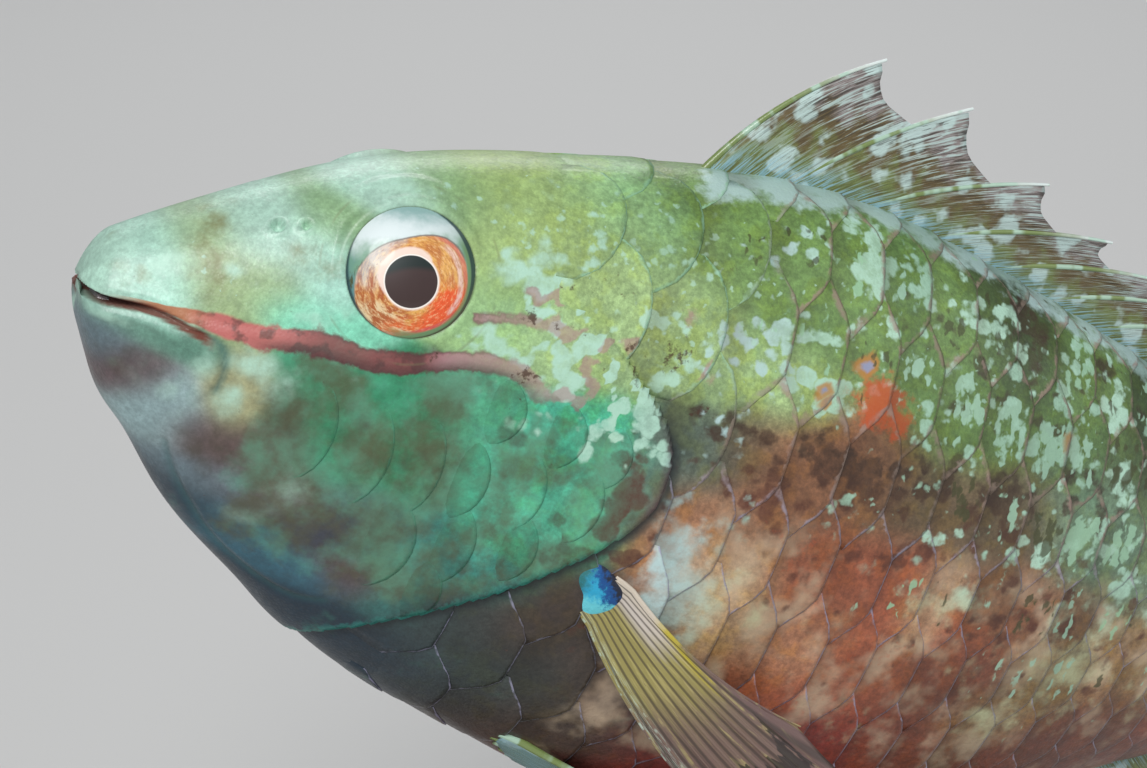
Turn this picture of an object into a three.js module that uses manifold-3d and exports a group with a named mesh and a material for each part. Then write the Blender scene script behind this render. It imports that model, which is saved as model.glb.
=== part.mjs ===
// A life-size parrotfish held by a plain display stand, in millimetres with +Z up.
// The fish is built straight in its own frame (x from the snout to the tail, z up, its left
// side towards -Y), cut into parts, then its tail half is bent a little to its right and the
// whole fish is pitched nose up, the way it lay. The stand is built upright round that pose.
import * as THREE from 'three';
import { mergeVertices } from 'three/addons/utils/BufferGeometryUtils.js';
import Module from 'manifold-3d';

const wasm = await Module();
wasm.setup();

// driving dimensions
const BODY_LENGTH = 205;            // snout to the end of the tail stalk
const PITCH = THREE.MathUtils.degToRad(21.7);      // nose up
const BEND_START = 58;              // the body is straight in front of this
const BEND_END = 175;
const BEND_ANGLE = THREE.MathUtils.degToRad(14);   // the tail's heading at the end
const GAP = 0.3;                    // between pieces that touch

const BACK_LIP = 5.2;               // height of the blunt snout over the mouth
const BELLY_LIP = 4.0;              // depth of the chin under it
const SIDE_LIP = 4.6;
const SNOUT_ROUND = 2.4;            // length over which the snout rounds off
const CHIN_START = 0.6;             // the lower jaw starts a little behind the upper one
const CHIN_ROUND = 3.0;

const EYE = new THREE.Vector3(29.8, -10.9, 13.4);  // where the eye's axis leaves the left cheek
const EYE_AXIS = new THREE.Vector3(-0.17, -0.94, 0.30).normalize();
const EYE_RADIUS = 7.5;
const EYE_HALF_THICK = 4.1;
const EYE_DEPTH = 1.9;              // the eyeball's middle lies this far under the skin
const LID_RADIUS = 7.3;             // the ring of skin round the eyeball
const LID_TUBE = 0.95;
const LID_DEPTH = 0.55;
const ORBIT_RADIUS = 8.6;           // the low mound that carries it
const ORBIT_HALF_THICK = 4.1;
const ORBIT_DEPTH = 3.1;

const MOUTH_END = 13.4;             // the slit runs this far back
const MOUTH_OPEN = 1.0;
const LIP_THICK = 1.3;
const LIP_RADIUS = 0.85;            // the soft roll along each edge of the mouth
const LIP_CORNER_RADIUS = 0.35;
const LIP_LIFT = 1.15;              // its middle above or below the mouth line
const LIP_SUNK = 0.6;               // and under the skin
const LIP_FRONT_UPPER = 0.85;       // where it crosses the snout's middle
const LIP_FRONT_LOWER = 1.3;
const BEAK_THICK = 1.5;
const BEAK_CLEAR = 0.4;             // between the beak's plates and the lips
const BEAK_UPPER = [0.95, 3.3];     // heights of the two plates near the front
const BEAK_LOWER = [-1.6, 0.65];
const POCKET = [-1.9, 3.6];         // heights of the hollow that holds them
const POCKET_FRONT = 1.35;
const POCKET_REAR = 10;

const NOSTRILS = [[16.3, 13.3, 0.75], [18.9, 14.3, 0.55]];  // place along, height and radius
const NOSTRIL_AXIS = new THREE.Vector3(-0.36, -0.72, 0.58).normalize();
const NOSTRIL_RIM = 0.32;
const NOSTRIL_DEPTH = 1.1;
const FLAP_ROOT = [17.2, 13.7];     // the small skin flap behind the front nostril
const FLAP_REACH = new THREE.Vector3(-0.9, -1.3, 2.4);
const FLAP_RADIUS = 0.55;

const GILL_STEP = 0.6;              // the gill cover stands this far over the shoulder
const GILL_FADE = 6.5;              // and sinks to nothing over about this length
const STALK_CUT = 142;              // where the trunk meets the tail stalk

const DORSAL_SPINES = 9;
const DORSAL_RAYS = 19;             // nine spines and ten soft rays
const ANAL_RAYS = 12;               // three spines and nine soft rays
const TAIL_RAYS = 13;
const PECTORAL_RAYS = 12;
const PELVIC_RAYS = 6;              // one spine and five rays
const MEMBRANE_HALF = 0.26;
const RAY_HALF = 0.42;
const RIDGE_HALF = 0.54;            // half the width of a ray's ridge
const DORSAL_START = 61;            // first spine behind the snout
const DORSAL_STEP = 10.4;           // between the first spines, closing up to the rear
const DORSAL_CLOSING = 0.22;
const ANAL_START = 117.5;
const ANAL_STEP = 4.9;
const ANAL_CLOSING = 0.06;
const TAIL_FIN_LENGTH = 41;         // of the middle rays
const TAIL_CORNER = 8;              // how far the corner rays are drawn out
const TAIL_SPREAD = 21;             // degrees above and below the middle ray

const BASE_LENGTH = 112;
const BASE_WIDTH = 74;
const BASE_HEIGHT = 10;
const BASE_CENTRE = 76;             // behind the snout
const ROD_RADIUS = 2.5;
const ROD_FRONT = 58;
const ROD_REAR = 91;
const FLOOR_CLEARANCE = 5;          // under the lowest tip of the tail fin

// small helpers
const clamp = (v, a, b) => Math.min(b, Math.max(a, v));
const smooth = (a, b, v) => { const t = clamp((v - a) / (b - a), 0, 1); return t * t * (3 - 2 * t); };
const mix = (a, b, t) => a + (b - a) * t;

// natural cubic spline through a few named stations
function spline(points) {
  const n = points.length, x = points.map(p => p[0]), y = points.map(p => p[1]);
  const m = new Array(n).fill(0), c = new Array(n).fill(0), d = new Array(n).fill(0);
  for (let i = 1; i < n - 1; i++) {
    const a = x[i] - x[i - 1], b = x[i + 1] - x[i];
    const r = 6 * ((y[i + 1] - y[i]) / b - (y[i] - y[i - 1]) / a);
    const w = 2 * (a + b) - a * c[i - 1];
    c[i] = b / w;
    d[i] = (r - a * d[i - 1]) / w;
  }
  for (let i = n - 2; i > 0; i--) m[i] = d[i] - c[i] * m[i + 1];
  return q => {
    const v = clamp(q, x[0], x[n - 1]);
    let i = 0;
    while (i < n - 2 && v > x[i + 1]) i++;
    const h = x[i + 1] - x[i], a = (x[i + 1] - v) / h, b = (v - x[i]) / h;
    return a * y[i] + b * y[i + 1] + ((a ** 3 - a) * m[i] + (b ** 3 - b) * m[i + 1]) * h * h / 6;
  };
}

// the body's outline
const back = spline([[0, 0], [4, 2.9], [12, 8.2], [22, 14.3], [34, 19.3], [48, 23.1], [62, 26.1], [76, 27.6],
  [92, 26.3], [112, 22.4], [135, 17.0], [158, 11.4], [180, 7.8], [205, 8.4]]);
const belly = spline([[0, 0], [2.4, -1.0], [5, -4.7], [9, -8.4], [14, -13.3], [20, -17.9], [28, -22.4],
  [38, -27.6], [50, -31.4], [64, -34.8], [80, -37.0], [95, -36.2], [112, -32.2], [132, -26.2], [155, -18.4],
  [178, -12.0], [205, -11.2]]);
const flank = spline([[0, 0], [6, 2.4], [14, 5.2], [24, 7.5], [36, 9.5], [50, 11.6], [64, 12.8], [80, 13.0],
  [100, 11.2], [125, 8.0], [150, 4.6], [175, 1.5], [190, -0.4], [205, -2.2]]);
const widest = spline([[0, 0], [20, -1.0], [45, -1.5], [80, -2.5], [120, -1.5], [160, 0], [205, 0]]);
const blunt = (x, start, length) => {
  const t = clamp((x - start) / length, 0, 1);
  return Math.sqrt(1 - (1 - t) ** 2);
};
const topAt = x => back(x) + BACK_LIP * blunt(x, 0, SNOUT_ROUND);
const bottomAt = x => belly(x) - BELLY_LIP * blunt(x, CHIN_START, CHIN_ROUND);
const widthAt = x => flank(x) + SIDE_LIP * blunt(x, 0, SNOUT_ROUND);
// the section is a little squarer over the head and the belly than an ellipse
const upperPower = x => x < 30 ? 0.8 : x < 60 ? mix(0.8, 0.95, (x - 30) / 30) : mix(0.95, 1, (x - 60) / 145);
const lowerPower = x => x < 30 ? 0.8 : x < 60 ? mix(0.8, 0.9, (x - 30) / 30) : mix(0.9, 1, (x - 60) / 145);

// distance of the skin from the middle plane at a height z
function sideAt(x, z) {
  const mid = widest(x), up = z > mid;
  const s = clamp(up ? (z - mid) / (topAt(x) - mid) : (mid - z) / (mid - bottomAt(x)), 0, 1);
  return widthAt(x) * Math.sqrt(1 - s * s) ** (up ? upperPower(x) : lowerPower(x));
}

// the centre line turns sideways past BEND_START, on a table of half-millimetre steps
const bendTable = [];
{
  let cx = -10, cy = 0;
  for (let x = -10; x <= 280; x += 0.5) {
    const s = BEND_ANGLE * smooth(BEND_START, BEND_END, x);
    bendTable.push([cx, cy, s]);
    const next = BEND_ANGLE * smooth(BEND_START, BEND_END, x + 0.5);
    cx += 0.25 * (Math.cos(s) + Math.cos(next));
    cy += 0.25 * (Math.sin(s) + Math.sin(next));
  }
}
function bend(v) {
  const q = clamp((v.x + 10) * 2, 0, bendTable.length - 1.001), i = Math.floor(q), f = q - i;
  const [cx, cy, s] = [0, 1, 2].map(k => mix(bendTable[i][k], bendTable[i + 1][k], f));
  return v.set(cx - v.y * Math.sin(s), cy + v.y * Math.cos(s), v.z);
}

// solids
function meshFrom(positions, index) {
  const g = new THREE.BufferGeometry();
  g.setAttribute('position', new THREE.Float32BufferAttribute(positions, 3));
  g.setIndex(index);
  return g;
}
function toSolid(geometry) {
  const g = geometry.clone();
  for (const name of ['normal', 'uv']) if (g.getAttribute(name)) g.deleteAttribute(name);
  const m = mergeVertices(g, 1e-4);
  const solid = new wasm.Manifold(new wasm.Mesh({
    numProp: 3,
    vertProperties: new Float32Array(m.getAttribute('position').array),
    triVerts: new Uint32Array(m.index.array),
  }));
  return solid;
}
function toGeometry(solid) {
  const m = solid.getMesh();
  const positions = [];
  for (let i = 0; i < m.vertProperties.length; i += m.numProp) {
    positions.push(m.vertProperties[i], m.vertProperties[i + 1], m.vertProperties[i + 2]);
  }
  return meshFrom(positions, Array.from(m.triVerts));
}
const largest = solid => solid.decompose().reduce((a, b) => (b.volume() > a.volume() ? b : a));
function moved(geometry, change) {
  const g = geometry.clone(), p = g.getAttribute('position'), v = new THREE.Vector3();
  for (let i = 0; i < p.count; i++) {
    change(v.fromBufferAttribute(p, i));
    p.setXYZ(i, v.x, v.y, v.z);
  }
  return g;
}
function mirrored(geometry) {
  const g = moved(geometry, v => { v.y = -v.y; }), index = Array.from(g.index.array);
  for (let i = 0; i < index.length; i += 3) [index[i], index[i + 1]] = [index[i + 1], index[i]];
  g.setIndex(index);
  return g;
}

// the whole body as rings of points, grown outward by a margin and by a relief
function bodyGeometry(grow = 0, relief = null, sides = 36) {
  const stations = [0.15, 0.55, 1.2, 2.2, 3.7, 5.8, 8.4, 11.3];
  for (let x = 14.4; x < 66; x += 3.4) stations.push(x);
  for (let x = 69; x < BODY_LENGTH - 2; x += 4.6) stations.push(x);
  stations.push(BODY_LENGTH);
  const positions = [-grow, 0, 0.2];
  for (const x of stations) {
    const place = x === BODY_LENGTH ? x + grow : x - grow * Math.max(0, 1 - x / 3);
    const mid = widest(x), up = topAt(x) + grow - mid, down = mid - (bottomAt(x) - grow), w = widthAt(x) + grow;
    for (let j = 0; j < sides; j++) {
      const a = -Math.PI / 2 + 2 * Math.PI * j / sides;
      const c = Math.cos(a), s = Math.sin(a), power = s > 0 ? upperPower(x) : lowerPower(x);
      let y = -w * Math.sign(c) * Math.abs(c) ** power, z = s > 0 ? up * s : down * s;
      if (Math.abs(c) < 1e-9) y = 0;
      const r = relief ? relief(x, y, mid + z) : 0, l = Math.hypot(y, z) || 1;
      positions.push(place, y * (1 + r / l), mid + z * (1 + r / l));
    }
  }
  const index = [], last = 1 + (stations.length - 1) * sides;
  for (let j = 0; j < sides; j++) {
    const k = (j + 1) % sides;
    index.push(0, 1 + k, 1 + j);
    for (let i = 0; i < stations.length - 1; i++) {
      const a = 1 + i * sides + j, b = 1 + i * sides + k, c = a + sides, d = b + sides;
      index.push(a, b, c, b, d, c);
    }
  }
  positions.push(BODY_LENGTH + grow, 0, 0);
  for (let j = 0; j < sides; j++) index.push(last + j, last + (j + 1) % sides, positions.length / 3 - 1);
  const g = meshFrom(positions, index);
  return signedVolume(g) < 0 ? flipped(g) : g;
}
function signedVolume(g) {
  const p = g.getAttribute('position'), a = new THREE.Vector3(), b = new THREE.Vector3(), c = new THREE.Vector3();
  let sum = 0;
  for (let i = 0; i < g.index.count; i += 3) {
    a.fromBufferAttribute(p, g.index.getX(i));
    b.fromBufferAttribute(p, g.index.getX(i + 1));
    c.fromBufferAttribute(p, g.index.getX(i + 2));
    sum += a.dot(b.cross(c));
  }
  return sum / 6;
}
function flipped(g) {
  const index = Array.from(g.index.array);
  for (let i = 0; i < index.length; i += 3) [index[i], index[i + 1]] = [index[i + 1], index[i]];
  g.setIndex(index);
  return g;
}

// a side-view outline pulled through the whole width
function slab(outline, half = 40) {
  const shape = new THREE.Shape(outline.map(([x, z]) => new THREE.Vector2(x, z)));
  const g = new THREE.ExtrudeGeometry(shape, { depth: 2 * half, bevelEnabled: false, steps: 1 });
  return toSolid(moved(g, v => v.set(v.x, half - v.z, v.y)));
}
// a plan-view outline pulled upward from z0 to z1
function prism(outline, z0, z1, lift = () => 0) {
  const shape = new THREE.Shape(outline.map(([x, y]) => new THREE.Vector2(x, y)));
  const g = new THREE.ExtrudeGeometry(shape, { depth: z1 - z0, bevelEnabled: false, steps: 1 });
  return toSolid(moved(g, v => { v.z += z0 + lift(v.x); }));
}

// a round rope along a curve, with a radius that changes and rounded ends
function rope(curve, radius, steps, sides) {
  const positions = [], index = [];
  let side = null;
  for (let i = 0; i <= steps; i++) {
    const t = i / steps, p = curve.getPointAt(t), d = curve.getTangentAt(t);
    if (!side) side = new THREE.Vector3(0, 0, 1);
    side.addScaledVector(d, -side.dot(d)).normalize();
    const other = new THREE.Vector3().crossVectors(d, side), r = radius(t);
    for (let j = 0; j < sides; j++) {
      const a = 2 * Math.PI * j / sides, v = p.clone()
        .addScaledVector(side, r * Math.cos(a)).addScaledVector(other, r * Math.sin(a));
      positions.push(v.x, v.y, v.z);
    }
  }
  for (let i = 0; i < steps; i++) {
    for (let j = 0; j < sides; j++) {
      const k = (j + 1) % sides, a = i * sides + j, b = i * sides + k, c = a + sides, d = b + sides;
      index.push(a, b, c, b, d, c);
    }
  }
  for (const [t, row] of [[0, 0], [1, steps]]) {
    const p = curve.getPointAt(t);
    positions.push(p.x, p.y, p.z);
    for (let j = 0; j < sides; j++) {
      const a = row * sides + j, b = row * sides + (j + 1) % sides, centre = positions.length / 3 - 1;
      if (row) index.push(a, b, centre); else index.push(b, a, centre);
    }
  }
  const g = meshFrom(positions, index);
  return toSolid(signedVolume(g) < 0 ? flipped(g) : g);
}

// an ellipsoid whose short axis points along a direction
function lens(centre, axis, radius, halfThick, grow = 0, across = 20, down = 12) {
  const g = new THREE.SphereGeometry(1, across, down);
  const turn = new THREE.Quaternion().setFromUnitVectors(new THREE.Vector3(0, 1, 0), axis);
  return moved(g, v => v.set(v.x * (radius + grow), v.y * (halfThick + grow), v.z * (radius + grow))
    .applyQuaternion(turn).add(centre));
}
// a ring that lies across a direction
function ring(centre, axis, radius, tube, around = 32, sides = 8) {
  const g = new THREE.TorusGeometry(radius, tube, sides, around);
  const turn = new THREE.Quaternion().setFromUnitVectors(new THREE.Vector3(0, 0, 1), axis);
  return moved(g, v => v.applyQuaternion(turn).add(centre));
}
function cone(from, to, r0, r1, sides = 8) {
  const line = new THREE.LineCurve3(from, to);
  return rope(line, t => mix(r0, r1, t), 1, sides);
}
const sided = (v, side) => new THREE.Vector3(v.x, v.y * side, v.z);

// a fin: columns of points from root to edge, the same on both faces, closed all round
function finGeometry(columns, rows) {
  const positions = [], index = [], nU = columns.length, nV = rows;
  const middle = columns.map(c => Array.from({ length: nV + 1 }, (_, j) => c.at(j / nV)));
  const normal = (i, j) => {
    const a = middle[Math.min(i + 1, nU - 1)][j].clone().sub(middle[Math.max(i - 1, 0)][j]);
    const b = middle[i][Math.min(j + 1, nV)].clone().sub(middle[i][Math.max(j - 1, 0)]);
    return a.cross(b).normalize();
  };
  for (const face of [1, -1]) {
    for (let i = 0; i < nU; i++) {
      for (let j = 0; j <= nV; j++) {
        const n = columns[i].normal || normal(i, j);
        const v = middle[i][j].clone().addScaledVector(n, face * columns[i].half(j / nV));
        positions.push(v.x, v.y, v.z);
      }
    }
  }
  const at = (face, i, j) => face * nU * (nV + 1) + i * (nV + 1) + j;
  for (let i = 0; i < nU - 1; i++) {
    for (let j = 0; j < nV; j++) {
      const [a, b, c, d] = [at(0, i, j), at(0, i + 1, j), at(0, i + 1, j + 1), at(0, i, j + 1)];
      const [e, f, g, h] = [at(1, i, j), at(1, i + 1, j), at(1, i + 1, j + 1), at(1, i, j + 1)];
      index.push(a, b, c, a, c, d, e, g, f, e, h, g);
    }
  }
  for (let i = 0; i < nU - 1; i++) {
    index.push(at(0, i, 0), at(1, i, 0), at(1, i + 1, 0), at(0, i, 0), at(1, i + 1, 0), at(0, i + 1, 0));
    index.push(at(0, i, nV), at(1, i + 1, nV), at(1, i, nV), at(0, i, nV), at(0, i + 1, nV), at(1, i + 1, nV));
  }
  for (let j = 0; j < nV; j++) {
    index.push(at(0, 0, j), at(1, 0, j + 1), at(1, 0, j), at(0, 0, j), at(0, 0, j + 1), at(1, 0, j + 1));
    const k = nU - 1;
    index.push(at(0, k, j), at(1, k, j), at(1, k, j + 1), at(0, k, j), at(1, k, j + 1), at(0, k, j + 1));
  }
  const g = meshFrom(positions, index);
  return signedVolume(g) < 0 ? flipped(g) : g;
}

// columns for rays: each ray is a narrow ridge, with the membrane flat between it and the next
function rayColumns({ count, root, tip, bulge, rootHalf, sink, edge, middles, normal = null }) {
  const columns = [];
  const add = (u, isRay, reach) => {
    const i = clamp(Math.floor(u), 0, count - 2), f = u - i;
    const a = root(i).lerp(root(i + 1), f), b = tip(i).lerp(tip(i + 1), f);
    const along = b.clone().sub(a), arch = bulge(u);
    columns.push({
      normal,
      at: t => {
        const v = mix(-sink, reach, t), q = a.clone().addScaledVector(along, v);
        return v > 0 ? q.addScaledVector(arch, 4 * v * (1 - v)) : q;
      },
      half: t => {
        const v = Math.max(0, mix(-sink, reach, t)), thin = isRay ? RAY_HALF : MEMBRANE_HALF;
        return mix(thin, rootHalf(u), (1 - smooth(0, 0.3, v)) * (isRay ? 1 : 0.75)) * (isRay ? mix(1, 0.7, v) : 1);
      },
    });
  };
  for (let i = 0; i < count; i++) {
    const next = Math.min(i, count - 2), width = RIDGE_HALF / tip(next + 1).distanceTo(tip(next));
    if (i > 0) add(i - width, false, edge(i, 1));
    add(i, true, 1);
    if (i < count - 1) {
      add(i + width, false, edge(i, 0));
      for (const m of middles(i)) add(i + m, false, edge(i, m));
    }
  }
  return columns;
}

// head, trunk and tail stalk
// the rear edge of the head: down the nape, round the gill cover and under the throat
const gillEdge = new THREE.CatmullRomCurve3([[46, 44], [47.5, 30], [49, 19], [52.2, 13.2], [57, 9.4], [61, 5.2],
  [62.2, 0.8], [61.4, -3.4], [57.6, -8.6], [50, -15.8], [41, -22.6], [33.5, -28.6], [28.5, -36]]
  .map(([x, z]) => new THREE.Vector3(x, 0, z)), false, 'centripetal').getPoints(44);
const gillDistance = (x, z) => gillEdge.reduce((d, p) => Math.min(d, Math.hypot(p.x - x, p.z - z)), 99);
const gillRelief = (x, y, z) => {
  if (x > 66) return 0;
  return GILL_STEP * Math.exp(-((gillDistance(x, z) / GILL_FADE) ** 2)) * smooth(17, 9, z) * smooth(-34, -26, z);
};
const headOutline = offset => {
  const edge = gillEdge.map((p, i) => {
    const a = gillEdge[Math.max(i - 1, 0)], b = gillEdge[Math.min(i + 1, gillEdge.length - 1)];
    const dx = b.x - a.x, dz = b.z - a.z, l = Math.hypot(dx, dz);
    return [p.x - offset * dz / l, p.z + offset * dx / l];
  });
  return [[-10, 44], ...edge, [-10, -36]];
};

const mouthLine = spline([[-2, 0.3], [2.8, 0.9], [7.1, 1.5], [10.2, 1.1], [13.4, 0.2], [16, -2.0]]);
const bodySolid = toSolid(bodyGeometry());
const clearOfBody = toSolid(bodyGeometry(GAP, gillRelief));

let head = toSolid(bodyGeometry(0, gillRelief)).intersect(slab(headOutline(0)));
const rest = bodySolid.subtract(slab(headOutline(GAP)));
const stalkEdge = x => [[x, -60], [x, 60], [300, 60], [300, -60]];
const trunk = largest(rest.subtract(slab(stalkEdge(STALK_CUT))));
const stalk = largest(rest.intersect(slab(stalkEdge(STALK_CUT + GAP))));

// orbit: a low mound with a lid ring round the eyeball
for (const side of [1, -1]) {
  const at = sided(EYE, side), axis = sided(EYE_AXIS, side);
  const under = d => at.clone().addScaledVector(axis, -d);
  head = head.add(toSolid(lens(under(ORBIT_DEPTH), axis, ORBIT_RADIUS, ORBIT_HALF_THICK, 0, 24, 10)));
  head = head.add(toSolid(ring(under(LID_DEPTH), axis, LID_RADIUS, LID_TUBE, 28, 6)));
  head = head.subtract(toSolid(lens(under(EYE_DEPTH), axis, EYE_RADIUS, EYE_HALF_THICK, GAP)));
}

// lips: a soft roll along each edge of the mouth, thinning to the corners
const lipCurve = lift => {
  const path = [];
  for (let x = MOUTH_END + 0.6; x > 0.9; x -= 1.6) path.push([x, 1]);
  const left = path.map(([x]) => {
    const z = mouthLine(x) + lift * mix(1, 0.75, x / MOUTH_END);
    return new THREE.Vector3(x, -(sideAt(x, z) - LIP_SUNK), z);
  });
  const front = new THREE.Vector3(lift > 0 ? LIP_FRONT_UPPER : LIP_FRONT_LOWER, 0, mouthLine(0) + lift);
  return new THREE.CatmullRomCurve3([...left, front, ...left.map(v => sided(v, -1)).reverse()], false, 'centripetal');
};
const lipRadius = t => mix(LIP_CORNER_RADIUS, LIP_RADIUS, smooth(0, 0.3, 0.5 - Math.abs(t - 0.5)));
for (const lift of [LIP_LIFT, -LIP_LIFT]) head = head.add(rope(lipCurve(lift), lipRadius, 28, 7));

// the slit of the mouth, and the pocket behind the lips that holds the beak
const slitEdge = Array.from({ length: 11 }, (_, i) => mix(-3, MOUTH_END, i / 10));
const slitHalf = x => MOUTH_OPEN * mix(0.5, 0.25, x / MOUTH_END);
const slitOutline = [...slitEdge.map(x => [x, mouthLine(x) + slitHalf(x)]),
  ...slitEdge.reverse().map(x => [x, mouthLine(x) - slitHalf(x)])];
const jawOutline = (front, rear, inset) => {
  const left = [], steps = 7;
  for (let i = 0; i <= steps; i++) {
    const x = mix(front, rear, (i / steps) ** 1.5);
    left.push([x, -(sideAt(x, mouthLine(x)) - inset)]);
  }
  return left;
};
const pocketSide = jawOutline(POCKET_FRONT, POCKET_REAR, LIP_THICK);
const followMouth = x => mouthLine(x) - mouthLine(2);
head = head.subtract(slab(slitOutline))
  .subtract(prism([...pocketSide, ...pocketSide.map(([x, y]) => [x, -y]).reverse()], ...POCKET, followMouth));
const beakFront = POCKET_FRONT + BEAK_CLEAR, beakRear = POCKET_REAR - 0.6;
const beakOutside = jawOutline(beakFront, beakRear, LIP_THICK + BEAK_CLEAR);
const beakInside = jawOutline(beakFront + BEAK_THICK, beakRear, LIP_THICK + BEAK_CLEAR + BEAK_THICK);
const beakOutline = [...beakOutside, ...beakInside.slice().reverse(),
  ...beakInside.map(([x, y]) => [x, -y]), ...beakOutside.map(([x, y]) => [x, -y]).reverse()];
const beakUpper = largest(prism(beakOutline, ...BEAK_UPPER, followMouth));
const beakLower = largest(prism(beakOutline, ...BEAK_LOWER, followMouth));

// nostrils: a raised rim round a pit on each side, and a small flap behind the front one
for (const side of [1, -1]) {
  const axis = sided(NOSTRIL_AXIS, side);
  for (const [x, z, radius] of NOSTRILS) {
    const at = new THREE.Vector3(x, -sideAt(x, z) * side, z);
    const above = at.clone().addScaledVector(axis, NOSTRIL_DEPTH);
    const below = at.clone().addScaledVector(axis, -NOSTRIL_DEPTH);
    head = head.add(toSolid(ring(at, axis, radius + 0.2, NOSTRIL_RIM, 12, 5)));
    head = head.subtract(cone(above, below, radius, radius / 2));
  }
  const [x, z] = FLAP_ROOT;
  const root = new THREE.Vector3(x, -(sideAt(x, z) - FLAP_RADIUS) * side, z);
  head = head.add(cone(root, root.clone().add(sided(FLAP_REACH, side)), FLAP_RADIUS, FLAP_RADIUS / 2, 6));
}
head = largest(head);

// fins
const V = (x, y, z) => new THREE.Vector3(x, y, z);
const trimmed = geometry => toGeometry(largest(toSolid(geometry).subtract(clearOfBody)));
const degrees = THREE.MathUtils.degToRad;
const lean = (angle, length) => V(length * Math.cos(degrees(angle)), 0, length * Math.sin(degrees(angle)));

// dorsal fin: stiff spines with notched membranes in front, soft rays folded low behind
const dorsalRootX = i => DORSAL_START + DORSAL_STEP * i - DORSAL_CLOSING * i * i;
const dorsalLean = spline([[0, 47.6], [1, 37.6], [2, 21], [3, 12], [5, 8.5], [8, 6.5], [12, 4], [18, 2]]);
const dorsalLength = spline([[0, 23.2], [1, 22.5], [2, 22.8], [3, 24], [5, 24], [9, 23], [13, 23], [18, 17]]);
const dorsalColumns = rayColumns({
  count: DORSAL_RAYS,
  root: i => V(dorsalRootX(i), 0, topAt(dorsalRootX(i)) + 0.2),
  tip: i => V(dorsalRootX(i), 0, topAt(dorsalRootX(i))).add(lean(dorsalLean(i), dorsalLength(i))),
  bulge: u => lean(dorsalLean(u) + 90, u < 1 ? 1.7 : 0.9),
  rootHalf: () => 0.95,
  sink: 0.22,
  middles: i => (i < DORSAL_SPINES - 1 ? [0.45] : []),
  edge: (i, s) => {
    if (i < DORSAL_SPINES - 1 || (i === DORSAL_SPINES - 1 && s === 1)) return s === 0 ? 0.97 : s === 1 ? 0.68 : 0.76;
    return 0.97;
  },
  normal: V(0, 1, 0),
});

// anal fin: three short spines and nine rays, folded back under the tail stalk
const analRootX = i => ANAL_START + ANAL_STEP * i - ANAL_CLOSING * i * i;
const analLength = spline([[0, 8], [1, 12.5], [2, 16.5], [3, 19], [6, 19.5], [9, 18], [11, 14]]);
const analColumns = rayColumns({
  count: ANAL_RAYS,
  root: i => V(analRootX(i), 0, bottomAt(analRootX(i)) - 0.2),
  tip: i => V(analRootX(i), 0, bottomAt(analRootX(i))).add(lean(-38 + 1.8 * i, analLength(i))),
  bulge: u => lean(-128 + 1.8 * u, 0.7),
  rootHalf: () => 0.9,
  sink: 0.25,
  middles: () => [],
  edge: (i, s) => (i < 2 ? (s === 0 ? 0.95 : 0.75) : 0.97),
  normal: V(0, 1, 0),
});

// tail fin: a fan with a slightly hollow rear edge and drawn-out corners
const tailT = i => 2 * i / (TAIL_RAYS - 1) - 1;
const tailMid = (topAt(BODY_LENGTH) + bottomAt(BODY_LENGTH)) / 2;
const tailHalf = (topAt(BODY_LENGTH) - bottomAt(BODY_LENGTH)) / 2;
const tailRoot = t => V(BODY_LENGTH + GAP, 0, tailMid + (tailHalf - 0.4) * t);
const tailColumns = rayColumns({
  count: TAIL_RAYS,
  root: i => tailRoot(tailT(i)),
  tip: i => {
    const t = tailT(i), length = TAIL_FIN_LENGTH + TAIL_CORNER * (0.5 * t * t + Math.abs(t) ** 7);
    return tailRoot(t).add(lean(TAIL_SPREAD * t, length));
  },
  bulge: u => lean(90, 1.2 * (2 * u / (TAIL_RAYS - 1) - 1)),
  rootHalf: u => Math.max(0.5, 2.2 * Math.sqrt(Math.max(0, 1 - (2 * u / (TAIL_RAYS - 1) - 1) ** 2))),
  sink: 0,
  middles: () => [],
  edge: () => 0.985,
  normal: V(0, 1, 0),
});

// paired fins, as lists of rays on the left side
function pairedColumns(count, root, direction, length, arch, rootHalf, sink) {
  return rayColumns({
    count, root,
    tip: i => root(i).add(direction(i).multiplyScalar(length(i))),
    bulge: () => arch,
    rootHalf: () => rootHalf,
    sink,
    middles: () => [],
    edge: () => 0.97,
  });
}
const pectoralRoot = i => {
  const s = i / (PECTORAL_RAYS - 1), x = mix(63.2, 60.4, s) + 0.5 * Math.sin(Math.PI * s), z = mix(-11.6, -16.8, s);
  return V(x, -(sideAt(x, z) + 0.35), z);
};
const pectoralLength = spline([[0, 24], [1, 37], [2.5, 41], [6, 38], [9, 33], [11, 27]]);
const pectoralColumns = pairedColumns(PECTORAL_RAYS, pectoralRoot, i => {
  const s = i / (PECTORAL_RAYS - 1), a = degrees(mix(-22, -38, s));
  return V(Math.cos(a), -0.22 - 0.1 * Math.sin(Math.PI * s), Math.sin(a)).normalize();
}, pectoralLength, V(-1.0, -0.9, -1.1), 0.9, 0.12);
const pelvicRoot = i => {
  const s = i / (PELVIC_RAYS - 1), x = mix(61.5, 65.5, s), y = mix(8.6, 4.6, s);
  const mid = widest(x), q = Math.min(1, y / widthAt(x)) ** (1 / lowerPower(x));
  return V(x, -y, mid - (mid - bottomAt(x)) * Math.sqrt(1 - q * q) - 0.3);
};
const pelvicLength = spline([[0, 25], [1, 37], [2, 36], [3, 32], [5, 22]]);
const pelvicColumns = pairedColumns(PELVIC_RAYS, pelvicRoot, i => {
  const s = i / (PELVIC_RAYS - 1);
  return V(1, mix(-0.30, -0.02, s), mix(-0.10, -0.24, s)).normalize();
}, pelvicLength, V(0, 0, -0.8), 0.9, 0.12);

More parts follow.
